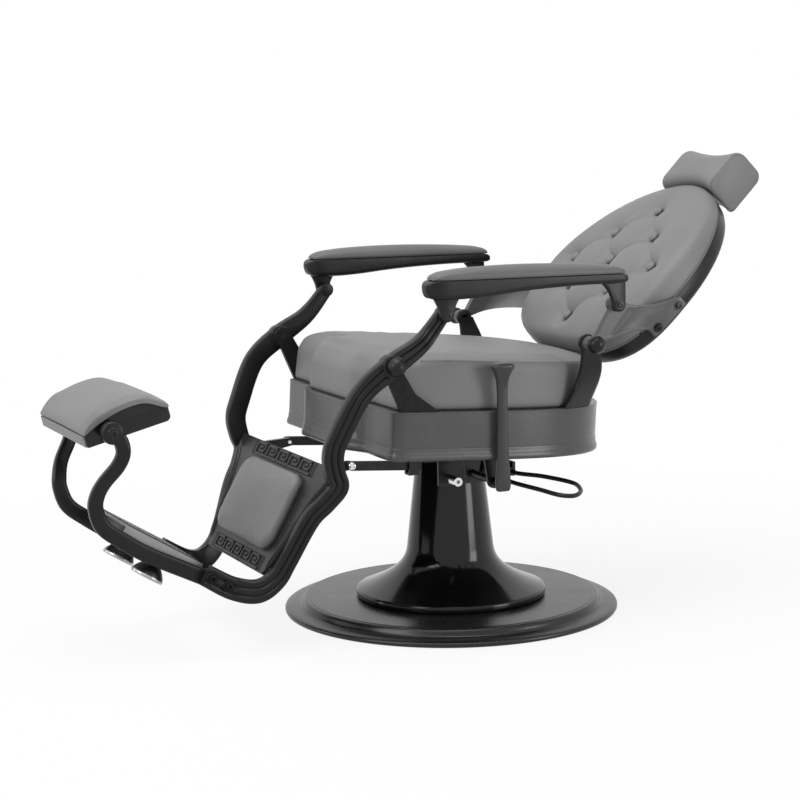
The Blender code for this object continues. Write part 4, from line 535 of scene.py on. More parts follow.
def build_seat_cushion():
    """A boxed cushion: soft side band, a seam along its sides and rear, a rolled front and a low crown."""
    outer, inner = seat_outline(CUSHION_INSET), seat_outline(CUSHION_INSET + CUSHION_DRAW)

    def raised(x, y, height):
        return (x, y, CUSHION_FOOT + height - CUSHION_TAPER * y * height / CUSHION_EDGE)

    rings, seam, rim = [], [], []
    for level, profiles in enumerate(zip(BOXED, ROLLED)):
        ring = []
        for (ax, ay), (bx, by) in zip(outer, inner):
            front = 1 - ease(ay, -0.215, -0.09)
            inset, height = (boxed + (rolled - boxed) * front for boxed, rolled in zip(*profiles))
            x, y = ax + (bx - ax) * inset / CUSHION_DRAW, ay + (by - ay) * inset / CUSHION_DRAW
            ring.append(raised(x, y, height))
            if level == SEAM_LEVEL and front < 0.9:
                seam.append(raised(x, y, height + 0.0002))
            if level == len(BOXED) - 1:
                rim.append((x, y, height))
        rings.append(ring)
    peak = CUSHION_EDGE + CUSHION_CROWN
    for share in inward(26):
        rings.append([raised(x * share, CROWN_Y + (y - CROWN_Y) * share, edge + (peak - edge) * (1 - share ** 2.2))
                      for x, y, edge in rim])
    made = piece("seat_cushion_leather", loft(bmesh.new(), rings, raised(0.0, CROWN_Y, peak)), LEATHER, "seat",
                 "leather", ["seat_cushion"], crease=70, fill=0.85, **ON_SEAT)
    piece("seat_seam", cord(bmesh.new(), seam, 0.0009, 6, closed=False), WELT, "seat", "leather", **ON_SEAT)
    return made


def back_outline(inset, count):
    """The oval of the back as (x, height), drawn in by an inset; its lower half is squarer."""
    points = []
    for k in range(720):
        angle = 2 * pi * k / 720
        tall, power = (BACK_UP, 1.0) if sin(angle) > 0 else (BACK_DOWN, LOWER_POWER)
        x = (BACK_HALF_WIDTH - inset) * abs(cos(angle)) ** power
        z = (tall - inset) * abs(sin(angle)) ** power
        points.append((x if cos(angle) > 0 else -x, z if sin(angle) > 0 else -z))
    return resample(points, count)


ON_BACK = {"location": (0.0, *BACK_CENTRE), "lean": BACK_RECLINE}
BUTTONS = [(i * TUFT_STEP_X, TUFT_CENTRE + j * TUFT_STEP_Z) for i in range(-2, 3) for j in range(-2, 3)
           if abs(i) + abs(j) in (0, 2)]
BUTTON_PULL, BUTTON_FLAT, BUTTON_REACH = 0.0142, 0.0075, 0.0145
CREASE_DEPTH, CREASE_REACH, ROLL_DEPTH, ROLL_REACH, FOLD_END = 0.0056, 0.0031, 0.0044, 0.020, 0.050
# The rolled edge of the back's cushion as (inset, rise), and a covered button as (radius, height)
BACK_ROLL = mm((4, 0.4), (1.2, 1.6), (0, 6), (0.2, 13), (1, 21), (2.8, 29), (6, 36), (10.5, 41), (16, 44.4), (22, 46.4))
BUTTON_HEAD = mm((0, -2), (7, -2), (8.6, 2), (10, 4.8), (10.2, 6.8), (9, 9), (6.2, 10.6), (3, 11.4), (0, 11.6))
BACK_RIM = 0.024


def fold_lines():
    """Folds between neighbouring buttons, and short ones that run out from the outer buttons."""
    folds = []
    for i, a in enumerate(BUTTONS):
        for b in BUTTONS[i + 1:]:
            if abs(abs(a[0] - b[0]) - TUFT_STEP_X) < 1e-6 and abs(abs(a[1] - b[1]) - TUFT_STEP_Z) < 1e-6:
                folds.append((a, b, True))
    for x, z in BUTTONS:
        out = hypot(x, z - TUFT_CENTRE)
        if out > 1.5 * TUFT_STEP_Z:
            folds.append(((x, z), (x + x / out * FOLD_END, z + (z - TUFT_CENTRE) / out * FOLD_END), False))
    return folds


FOLDS = fold_lines()


def near_segment(x, z, a, b):
    """Distance from a point to a segment, and the share along it."""
    dx, dz = b[0] - a[0], b[1] - a[1]
    share = max(0.0, min(1.0, ((x - a[0]) * dx + (z - a[1]) * dz) / (dx * dx + dz * dz)))
    return hypot(x - a[0] - dx * share, z - a[1] - dz * share), share


def tuft_sink(x, z):
    """How far the sewn buttons and the folds between them draw the face in."""
    reach = [hypot(x - bx, z - bz) for bx, bz in BUTTONS]
    pull = sum(BUTTON_PULL * exp(-(max(0.0, away - BUTTON_FLAT) / BUTTON_REACH) ** 1.25) for away in reach)
    beside = 1 - exp(-(min(reach) / 0.012) ** 2)
    fold = 0.0
    for a, b, between in FOLDS:
        away, share = near_segment(x, z, a, b)
        fade = 1.0 - 0.35 * sin(pi * share) if between else 0.7 * (1.0 - share) ** 1.2
        fold = max(fold, fade * (CREASE_DEPTH * beside * exp(-away / CREASE_REACH)
                                 + ROLL_DEPTH * exp(-(away / ROLL_REACH) ** 1.5)))
    return pull + fold


def thinned(z):
    """The share of its thickness that the back's cushion keeps; it thins towards its top."""
    return 1 - BACK_THINNING * (max(0.0, z) / BACK_UP) ** 1.5


def on_shell(x, z, rise):
    """A point of the cushion over the back shell."""
    return (x, -SEAT_GAP - (rise - SEAT_GAP) * thinned(z), z)


def back_face(x, z, share):
    """A point of the buttoned face, at a share of the way from the middle to the rim."""
    return on_shell(x, z, BACK_EDGE + 0.0010 + (BACK_CROWN + 0.002) * (1 - share ** 2.2) - tuft_sink(x, z))


def build_back():
    """The buttoned cushion of the back, its seam, its covered buttons and the dished shell behind it."""
    count, middle = 320, TUFT_CENTRE
    rings = [[on_shell(x, z, rise) for x, z in back_outline(inset, count)] for inset, rise in BACK_ROLL]
    rim = back_outline(BACK_RIM, count)
    for share in inward(72):
        rings.append([back_face(x * share, middle + (z - middle) * share, share) for x, z in rim])
    made = piece("back_cushion_leather", loft(bmesh.new(), rings, back_face(0.0, middle, 0.0)), LEATHER, "back",
                 "leather", ["back_cushion"], crease=80, fill=0.85, **ON_BACK)
    welt = [(x, -0.0008, z) for x, z in back_outline(0.0014, 240)]
    piece("back_welt", cord(bmesh.new(), welt, 0.0022), WELT, "back", "leather", **ON_BACK)

    heads = bmesh.new()
    for x, z in BUTTONS:
        share = min(1.0, hypot(x / (BACK_HALF_WIDTH - BACK_RIM), (z - middle) / (BACK_UP - BACK_RIM - middle)))
        foot = back_face(x, z, share)[1] - 0.0002
        turned(heads, BUTTON_HEAD, 32, Matrix.Translation((x, foot, z)) @ Matrix.Rotation(pi / 2, 4, "X"))
    piece("back_buttons", heads, LEATHER, "back", "leather", crease=70, fill=1.0, **ON_BACK)

    depth = SHELL_DEPTH
    dish = [[(x, y, z) for x, z in back_outline(inset, 200)] for y, inset in (
        (0.0, 0.006), (0.0, 0.0012), (0.0008, 0.0003), (FLANGE_START, 0.0), (SHELL_SIDE, 0.002),
        (depth * 0.70, 0.0035), (depth * 0.82, 0.0065), (depth * 0.90, 0.0115), (depth * 0.96, 0.0200),
        (depth * 0.99, 0.0310), (depth, 0.045), (depth + 0.0008, 0.080), (depth + 0.0012, 0.130))]
    piece("back_shell_paint", loft(bmesh.new(), dish), CASTING, "back", "satin_black", ["back_shell"], crease=50,
          **ON_BACK)
    return made


def build_headrest():
    """A block with soft long edges, hollowed along its front, and a seam round each flat end."""
    stations = [-1.0 + 0.0115 * k for k in range(10)]
    stations += [-0.88 + 1.76 * k / 36 for k in range(37)] + [-s for s in reversed(stations)]

    def block(x, trim):
        share = x / HEADREST_HALF_WIDTH
        sag = HEADREST_SAG * (1 - share ** 2)
        foot = BACK_UP * (1 - (x / BACK_HALF_WIDTH) ** 2) ** 0.5 + HEADREST_GAP
        ring = rounded_box((sag + trim - HEADREST_FRONT, foot + trim),
                           (HEADREST_REAR - trim, HEADREST_TOP - 0.6 * sag - trim), HEADREST_EDGES, 10)
        return [(x, y, z) for y, z in ring]

    rings = []
    for share in stations:
        edge = HEADREST_HALF_WIDTH * (1 - abs(share))
        rings.append(block(HEADREST_HALF_WIDTH * share, 0.0066 * max(0.0, 1 - edge / 0.0090) ** 2))
    made = piece("headrest_leather", loft(bmesh.new(), rings), LEATHER, "headrest", "leather", ["headrest_cushion"],
                 crease=60, fill=0.9, **ON_BACK)
    thread = bmesh.new()
    for _, side in SIDES:
        cord(thread, resample(block(side * (HEADREST_HALF_WIDTH - 0.0024), 0.0034), 140), 0.0008, 6)
    piece("headrest_seams", thread, WELT, "headrest", "leather", **ON_BACK)
    return made


def arm_y(share):
    nose, tail = ARM_FRONT_PIN[0] - ARM_NOSE, ARM_REAR_PIN[0] + ARM_TAIL
    return nose + (tail - nose) * share


def arm_top(share):
    return ARM_FRONT_PIN[1] + 0.0625 - 0.006 * share


# Along the armrest's casting: share of its length, drop and height in shares of its depth, share of its width
ARM_STATIONS = ((0.0, 0.28, 0.28, 0.36), (0.012, 0.15, 0.70, 0.64), (0.035, 0.04, 0.94, 0.89),
                (0.075, 0.0, 1.0, 0.99), (0.16, 0.0, 1.02, 1.0), (0.28, 0.0, 0.94, 1.0), (0.46, 0.0, 0.74, 1.0),
                (0.70, 0.0, 0.58, 1.0), (0.94, 0.0, 0.52, 1.0), (0.985, 0.05, 0.44, 0.97), (1.0, 0.15, 0.28, 0.90))
# Along its pad: share of the length, share of the height, share of the width; and half of the pad's section
ARM_PAD_STATIONS = ((0.034, 0.20, 0.60), (0.040, 0.34, 0.70), (0.055, 0.50, 0.82), (0.10, 0.72, 0.955),
                    (0.24, 0.93, 1.0), (0.45, 1.0, 1.0), (0.70, 0.92, 1.0), (0.90, 0.74, 1.0), (0.955, 0.60, 0.965),
                    (0.980, 0.44, 0.90), (0.985, 0.28, 0.86))
ARM_PAD_SIDE = ((0.94, 0.0), (0.99, 0.08), (1.0, 0.24), (0.985, 0.44), (0.93, 0.63), (0.82, 0.79), (0.64, 0.905),
                (0.40, 0.972))
ARM_PAD_SECTION = ((-0.94, 0.0), *ARM_PAD_SIDE, (0.0, 1.0), *((-u, v) for u, v in reversed(ARM_PAD_SIDE[1:])))
ARM_PAD_HEIGHT, ARM_PAD_LAP = 0.021, 0.0015


def arm_tabs():
    """Outlines of the two tabs that drop from an armrest to its pins."""
    eye = ARM_EYE_RADIUS
    y, z = ARM_FRONT_PIN
    root = arm_top(0.0) - ARM_DEPTH * 0.6
    front = smooth_run([(y + eye * 4.4, root + 0.004), (y + eye * 3.0, root - eye * 0.12),
                        (y + eye * 1.9, root - eye * 0.95), (y + eye * 1.25, z + eye * 1.1),
                        (y + eye, z - eye * 0.1)], 7)
    front += arc(ARM_FRONT_PIN, eye, -8, -186, 18)
    front += smooth_run([(y - eye, z + eye * 0.12), (y - eye * 1.25, z + eye),
                         (y - eye * 1.75, root - eye * 1.15), (y - eye * 2.25, root - eye * 0.35),
                         (y - ARM_NOSE * 0.78, root + 0.004)], 7)
    y, z = ARM_REAR_PIN
    root = arm_top(1.0) - ARM_DEPTH * 0.38
    rear = [(y + ARM_TAIL - 0.0004, root + 0.003), (y + ARM_TAIL, root - 0.008)]
    rear += arc(ARM_REAR_PIN, eye, 8, -190, 20)
    rear += smooth_run([(y - eye, z + eye * 0.2), (y - eye * 1.18, z + eye),
                        (y - eye * 1.75, root - eye * 1.25), (y - eye * 2.8, root - eye * 0.2),
                        (y - eye * 3.8, root + 0.003)], 7)
    return front, rear


def build_armrests():
    """Cast armrests with their drop tabs and pin heads, and the leather pads on top of them."""
    pads = []
    for letter, side in SIDES:
        rings = []
        for share, drop, height, width in smooth_run(ARM_STATIONS, 6):
            top, half, height = arm_top(share) - drop * ARM_DEPTH, ARM_HALF_WIDTH * width, height * ARM_DEPTH
            under = min(0.0085, height * 0.4)
            ring = rounded_box((ARM_X - half, top - height), (ARM_X + half, top), (under, 0.0022, 0.0022, under))
            rings.append([(side * x, arm_y(share), z) for x, z in ring])
        shape = loft(bmesh.new(), rings)
        for outline in arm_tabs():
            tab(shape, outline, TAB_IN, TAB_OUT, side, 0.0022)
        piece(f"armrest_casting_{letter}", shape, CASTING, "armrests", "satin_black", [f"armrest_{letter}"], crease=45)
        for end, point in (("front", ARM_FRONT_PIN), ("rear", ARM_REAR_PIN)):
            pin = bmesh.new()
            boss(pin, point, 0.005, LINK_IN + 0.002, TAB_OUT + 0.001, side, 0.0006)
            bolt(pin, across(point, side, TAB_OUT + 0.0002), 0.0060, 0.0026, 0.0088)
            piece(f"arm_{end}_bolt_{letter}", pin, BOLT_BLACK, "armrests", "gloss_black", [f"arm_{end}_pin_{letter}"],
                  crease=30)
        pad = [[(side * (ARM_X + (ARM_HALF_WIDTH + ARM_PAD_LAP) * width * a), arm_y(share),
                 arm_top(share) + SEAT_GAP + ARM_PAD_HEIGHT * height * b) for a, b in ARM_PAD_SECTION]
               for share, height, width in smooth_run(ARM_PAD_STATIONS, 8)]
        pads.append(piece(f"armrest_leather_{letter}", loft(bmesh.new(), pad), LEATHER_ARM, "armrests", "leather_dark",
                          [f"armrest_pad_{letter}"], crease=55, fill=0.95))
    return pads


def calf_point(x, height, proud):
    """A point given across the calf panel, up it and proud of it."""
    y, z = CALF_CENTRE
    return (x, y + height * sin(CALF_LEAN) - proud * cos(CALF_LEAN),
            z + height * cos(CALF_LEAN) + proud * sin(CALF_LEAN))


def on_calf(y, z):
    """How far up the calf panel and proud of it a point of the side view lies."""
    y, z = y - CALF_CENTRE[0], z - CALF_CENTRE[1]
    return y * sin(CALF_LEAN) + z * cos(CALF_LEAN), z * sin(CALF_LEAN) - y * cos(CALF_LEAN)


CALF_HALF_WIDTH, CALF_HALF_HEIGHT, CALF_MIDDLE, CALF_CORNER = 0.133, 0.075, 0.003, 0.032
CALF_RIM, CALF_EDGE, CALF_CROWN = 0.0130, 0.0212, 0.0080
CALF_ROLL = mm((3, 0.4), (0.8, 1.4), (0, 5), (0.4, 9.5), (1.8, 13.8), (4.8, 17.6), (8.8, 20), (13, 21.2))


def build_calf_pad():
    """The pad of the calf panel: a low box with round corners and a soft crown."""
    def outline(inset):
        half, tall = CALF_HALF_WIDTH - inset, CALF_HALF_HEIGHT - inset
        return resample(rounded_box((-half, CALF_MIDDLE - tall), (half, CALF_MIDDLE + tall),
                                    CALF_CORNER - 0.4 * inset, 12), 192)

    def crowned(x, up):
        bulge = (1 - (x / (CALF_HALF_WIDTH - CALF_RIM)) ** 2) * (1 - (up / (CALF_HALF_HEIGHT - CALF_RIM)) ** 2)
        return calf_point(x, CALF_MIDDLE + up, CALF_EDGE + CALF_CROWN * bulge)

    rings = [[calf_point(x, h, rise) for x, h in outline(inset)] for inset, rise in CALF_ROLL]
    rim = outline(CALF_RIM)
    for share in inward(18):
        rings.append([crowned(x * share, (h - CALF_MIDDLE) * share) for x, h in rim])
    made = piece("calf_pad_leather", loft(bmesh.new(), rings, crowned(0.0, 0.0)), LEATHER, "legs", "leather",
                 ["calf_pad"], crease=60, fill=0.9)
    # A thin cord round the pad, coloured black as painted shadow: it stands in for the shadow line along the pad's edge
    welt = [calf_point(x, h, 0.0012) for x, h in outline(-0.0004)]
    piece("calf_painted_shadow_cord", cord(bmesh.new(), welt, 0.0014, 6), BOLT_BLACK, "legs", "leather")
    return made


def footpad_point(x, along, rise):
    """A point given across the footpad, along it and above its pivot."""
    y, z = FOOTPAD_PIVOT
    return (x, y + along * cos(FOOTPAD_TILT) - rise * sin(FOOTPAD_TILT),
            z + along * sin(FOOTPAD_TILT) + rise * cos(FOOTPAD_TILT))


FOOTPAD_KNOTS = ((0.0, 0.022), (0.22, 0.0358), (0.47, 0.045), (0.74, 0.0441), (0.94, 0.0264), (1.0, 0.024))
FOOTPAD_LENGTH, FOOTPAD_NOSE, FOOTPAD_LOW, FOOTPAD_MIDDLE = 0.1595, -0.0445, -0.0172, (0.035, 0.005)
FOOTPAD_HALF_WIDTH, FOOTPAD_ROUND, FOOTPAD_THICK, FOOTPAD_LAP = 0.142, 0.025, 0.018, 0.0018
FOOTPAD_BAND = rounded_box((-0.0468, -0.0150), (-0.0440, 0.0046), 0.0013, 4)


def build_footpad():
    """The arched leather pad of the footrest with rounded ends, the band that closes its front and its board."""
    arch = [(FOOTPAD_LENGTH * share + FOOTPAD_NOSE, rise + FOOTPAD_LOW)
            for share, rise in smooth_run(FOOTPAD_KNOTS, 10)]
    last = len(arch) - 1
    rings = []
    for k in range(53):
        x = FOOTPAD_HALF_WIDTH * sin((k / 26 - 1) * pi / 2)
        end = max(0.0, 1 - (FOOTPAD_HALF_WIDTH - abs(x)) / FOOTPAD_ROUND)
        full = 0.48 + 0.52 * (1.0 - min(end, 1.0) ** 2.0) ** 0.5
        ring = [footpad_point(x, along, rise + 2 * SEAT_GAP) for along, rise in arch]
        for i in range(last, -1, -1):
            along, rise = arch[i]
            t = i / last
            thick = FOOTPAD_THICK * max(0.16, sin(pi * (0.012 + 0.976 * t)) ** 0.42)
            thick += 0.0072 * exp(-((t - 0.15) / 0.13) ** 2) - 0.0022 * exp(-((t - 0.56) / 0.20) ** 2)
            ring.append(footpad_point(x, along + FOOTPAD_LAP * (2 * t - 1) * full, rise + thick * full))
        rings.append(ring)
    made = piece("footpad_leather", loft(bmesh.new(), rings), LEATHER, "footpad", "leather", ["footpad_cushion"],
                 crease=50, fill=0.9)
    band = [[footpad_point(x, along, rise) for along, rise in FOOTPAD_BAND] for x in (-0.1392, -0.138, 0.138, 0.1392)]
    piece("footpad_front_band", loft(bmesh.new(), band), LEATHER, "footpad", "leather", crease=40, fill=1.0)

    outline = arc((0.106, FOOTPAD_LOW + 0.009), 0.009, 0, -90, 8)
    outline += arc((-0.0405, FOOTPAD_LOW + 0.004), 0.004, -90, -180, 5) + arch
    y, z = FOOTPAD_MIDDLE
    board = [[footpad_point(x, y + (along - y) * (1 - trim), z + (rise - z) * (1 - trim)) for along, rise in outline]
             for x, trim in ((-0.140, 0.016), (-0.1395, 0.006), (-0.138, 0.0), (0.138, 0.0), (0.1395, 0.006),
                             (0.140, 0.016))]
    piece("footpad_board", loft(bmesh.new(), board), CHEEK, "footpad", "black_board", ["footpad_base"], crease=50)
    return made


# Castings

LEG_SHIN = ((-0.0045, -0.057, -0.046, 0.038), (-0.0205, -0.0965, -0.123, 0.038), (-0.0245, -0.1065, -0.156, 0.038),
            (-0.0275, -0.102, -0.188, 0.037), (-0.0310, -0.095, -0.214, 0.036), (-0.0510, -0.1105, -0.244, 0.035),
            (-0.0720, -0.135, -0.278, 0.034), (-0.1000, -0.1685, -0.353, 0.035), (-0.1105, -0.1885, -0.388, 0.038),
            (-0.1230, -0.219, -0.408, 0.043))
LEG_TOE = ((-0.259, -0.402, 0.042), (-0.309, -0.3725, 0.040))
LEG_THICKNESS, LEG_TOE_X, LEG_HUB_RADIUS = 0.022, 0.1333, 0.0215
# Half of the leg's section as (across, out): three ribs and two grooves on its outward face
LEG_RIBS = ((0.0, 0.500), (0.050, 0.495), (0.088, 0.470), (0.115, 0.415), (0.140, 0.355), (0.165, 0.335),
            (0.190, 0.355), (0.215, 0.415), (0.245, 0.470), (0.290, 0.497), (0.345, 0.500), (0.400, 0.488),
            (0.445, 0.452), (0.478, 0.395), (0.495, 0.320), (0.500, 0.22), (0.500, -0.30), (0.488, -0.40),
            (0.455, -0.465), (0.40, -0.50))
LEG_SECTION = LEG_RIBS + tuple((-u, v) for u, v in reversed(LEG_RIBS[1:]))


def bar(shape, run, section, side):
    """Add a bar along (x, y, z, width, thickness) points that keeps its section upright to the side view."""
    rings = []
    for i, (x, y, z, width, thick) in enumerate(run):
        back, ahead = run[max(i - 1, 0)], run[min(i + 1, len(run) - 1)]
        dy, dz = ahead[1] - back[1], ahead[2] - back[2]
        length = hypot(dy, dz)
        rings.append([(side * (x + v * thick), y - dz / length * u * width, z + dy / length * u * width)
                      for u, v in section])
    loft(shape, rings)


def build_leg_frames():
    """Ribbed leg castings with their two eyes."""
    y, z = FRONT_PIVOT
    inner = LINK_IN + EYE_PROUD
    middle = inner + LEG_THICKNESS / 2
    bow = ((ARM_FRONT_PIN[0] + y) / 2 + 0.007, (ARM_FRONT_PIN[1] + z) / 2 - 0.006)
    points = [(middle, *ARM_FRONT_PIN, 0.026), (middle, *bow, 0.032), (middle, y, z, 0.041)]
    points += [(middle + dx, y + dy, z + dz, width) for dx, dy, dz, width in LEG_SHIN]
    points += [(LEG_TOE_X, y + dy, z + dz, width) for dy, dz, width in LEG_TOE]
    run = []
    for x, py, pz, width in smooth_run(points, 14):
        slim = 1 - ease(hypot(py - ARM_FRONT_PIN[0], pz - ARM_FRONT_PIN[1]), 0.036, 0.060)
        thick = LEG_THICKNESS - 0.0006 - 0.0026 * slim
        run.append((max(x, LEG_TOE_X) - 0.0013 * slim, py, pz, width, thick))
    for letter, side in SIDES:
        shape = bmesh.new()
        bar(shape, run, LEG_SECTION, side)
        boss(shape, ARM_FRONT_PIN, ARM_EYE_RADIUS, LINK_IN, LINK_OUT, side)
        boss(shape, FRONT_PIVOT, LEG_HUB_RADIUS, LINK_IN, LINK_OUT + 0.0030, side, 0.0022)
        piece(f"leg_casting_{letter}", shape, CASTING, "legs", "satin_black", [f"leg_frame_{letter}"], crease=45)


FOOT_ARM_RUN = ((0.2256, -0.3125, 0.0, 0.030), (0.1726, -0.2835, 0.0, 0.030), (0.0746, -0.2340, 0.0, 0.030),
                (0.0226, -0.2000, 0.0, 0.030), (-0.0090, -0.1740, 0.0, 0.029), (-0.0215, -0.1410, 0.05, 0.027),
                (-0.0200, -0.1160, 0.20, 0.026), (-0.0105, -0.0910, 0.50, 0.025), (0.0095, -0.0610, 0.88, 0.025),
                (0.0185, -0.0380, 1.0, 0.025), (0.0150, -0.0160, 1.0, 0.026), (0.0, 0.0, 1.0, 0.028))
FOOT_ARM_X, FOOT_EYE_X, FOOT_ARM_THICKNESS = 0.113, 0.1603, 0.018
FOOT_HUB_RADIUS, FOOT_HUB_HALF = 0.0200, 0.0098


def build_foot_arms():
    """S-shaped foot arms with a rounded section and their eye at the footpad."""
    y, z = FOOTPAD_PIVOT
    run = [(FOOT_ARM_X + (FOOT_EYE_X - FOOT_ARM_X) * share, y + dy, z + dz, width, FOOT_ARM_THICKNESS)
           for dy, dz, share, width in smooth_run(FOOT_ARM_RUN, 12)]
    section = rounded_box((-0.5, -0.5), (0.5, 0.5), 0.27, 6)
    for letter, side in SIDES:
        shape = bmesh.new()
        bar(shape, run, section, side)
        boss(shape, FOOTPAD_PIVOT, FOOT_HUB_RADIUS, FOOT_EYE_X - FOOT_HUB_HALF, FOOT_EYE_X + FOOT_HUB_HALF, side,
             0.0025)
        boss(shape, FOOTPAD_PIVOT, 0.7 * FOOT_HUB_RADIUS, FOOT_EYE_X - 2 * FOOT_HUB_HALF, FOOT_EYE_X, side)
        piece(f"foot_arm_casting_{letter}", shape, CASTING, "legs", "satin_black", [f"foot_arm_{letter}"], crease=45)
        pin = bmesh.new()
        boss(pin, FOOTPAD_PIVOT, 0.006, 0.122, FOOT_EYE_X + 0.0105, side, 0.0006)
        bolt(pin, across(FOOTPAD_PIVOT, side, FOOT_EYE_X + 0.0099), 0.0074, 0.0026, 0.0106)
        piece(f"footpad_pivot_bolt_{letter}", pin, BOLT_BLACK, "legs", "gloss_black", [f"footpad_bolt_{letter}"],
              crease=30)


def seat_point(x, y, rise):
    """A point given in the tilted frame of the seat."""
    return Vector((x, y * cos(SEAT_TILT) + rise * sin(SEAT_TILT),
                   SEAT_HEIGHT - y * sin(SEAT_TILT) + rise * cos(SEAT_TILT)))


BRACKET_HALF, BRACKET_SET = 0.005, 0.0005


def build_side_brackets():
    """Curved rear brackets from the pan's rim to the back's pivot, and the ball heads of all four pivots."""
    ends = []
    for y in REAR_FOOT:
        share = (y - PAN_SIDE_END) / (PAN_REAR - BRACKET_SET - PAN_SIDE_END)
        width = (PAN_HALF_WIDTH - BRACKET_SET) * (1 - share ** REAR_POWER) ** (1 / REAR_POWER)
        ends.append(seat_point(width, y, SEAT_GAP))
    foot, run = (ends[0] + ends[1]) / 2, ends[1] - ends[0]
    head = Vector(((BRACKET_IN + BRACKET_OUT) / 2, REAR_PIVOT[0] + 0.004, REAR_PIVOT[1]))
    section = rounded_box((-1.0, -1.0), (1.0, 1.0), 0.34, 5)
    rows = []
    for k in range(29):
        t = k / 28
        blend = t * t * (3 - 2 * t)
        centre = foot.lerp(head, t) + Vector((0.0, EYE_RADIUS * 0.85, 0.0)) * sin(pi * t)
        centre.x = foot.x + (head.x - foot.x) * blend
        along = run.normalized().lerp(Vector((0.0, 1.0, 0.0)), blend).normalized()
        reach = run.length / 2 * (1 - t) + EYE_RADIUS * 0.85 * t
        out = Vector((along.y, -along.x, 0.0)).normalized() * BRACKET_HALF
        rows.append([centre + along * a * reach + out * b for a, b in section])
    face = LINK_OUT + SEAT_GAP
    ball = [(BALL_RADIUS * sin(radians(turn)), face + BALL_RADIUS * (cos(radians(50)) - cos(radians(turn))))
            for turn in range(50, 180, 6)]
    for letter, side in SIDES:
        shape = bmesh.new()
        loft(shape, [[(side * min(p.x, BRACKET_OUT - EYE_PROUD), p.y, p.z) for p in row] for row in rows])
        boss(shape, REAR_PIVOT, EYE_RADIUS - 0.0015, BRACKET_IN, BRACKET_OUT, side, 0.0030)
        piece(f"rear_bracket_casting_{letter}", shape, CASTING, "seat", "satin_black", [f"rear_bracket_{letter}"],
              crease=45)
        for end, point in (("front", FRONT_PIVOT), ("rear", REAR_PIVOT)):
            knob = bmesh.new()
            turned(knob, [(0, BRACKET_IN), (0.006, BRACKET_IN), (0.006, face), *ball], 48, across(point, side))
            piece(f"{end}_pivot_ball_{letter}", knob, CASTING, "seat", "satin_black", [f"{end}_pivot_{letter}"],
                  crease=60)


def back_point(height, depth):
    """World (y, z) of a point given up the back and behind its rim."""
    y, z = BACK_CENTRE
    return (y + height * sin(BACK_RECLINE) + depth * cos(BACK_RECLINE),
            z + height * cos(BACK_RECLINE) - depth * sin(BACK_RECLINE))


def back_width(height, inset):
    """Half width of the back's oval at a height."""
    tall, power = (BACK_UP, 1.0) if height > 0 else (BACK_DOWN, LOWER_POWER)
    sine = (abs(height) / (tall - inset)) ** (1 / power)
    return (BACK_HALF_WIDTH - inset) * (1 - sine * sine) ** (power / 2)


BRACKET_THICKNESS, BRACKET_WAIST, PANEL_SINK, BRACKET_EDGE = 0.014, 0.012, 0.0024, 0.0012


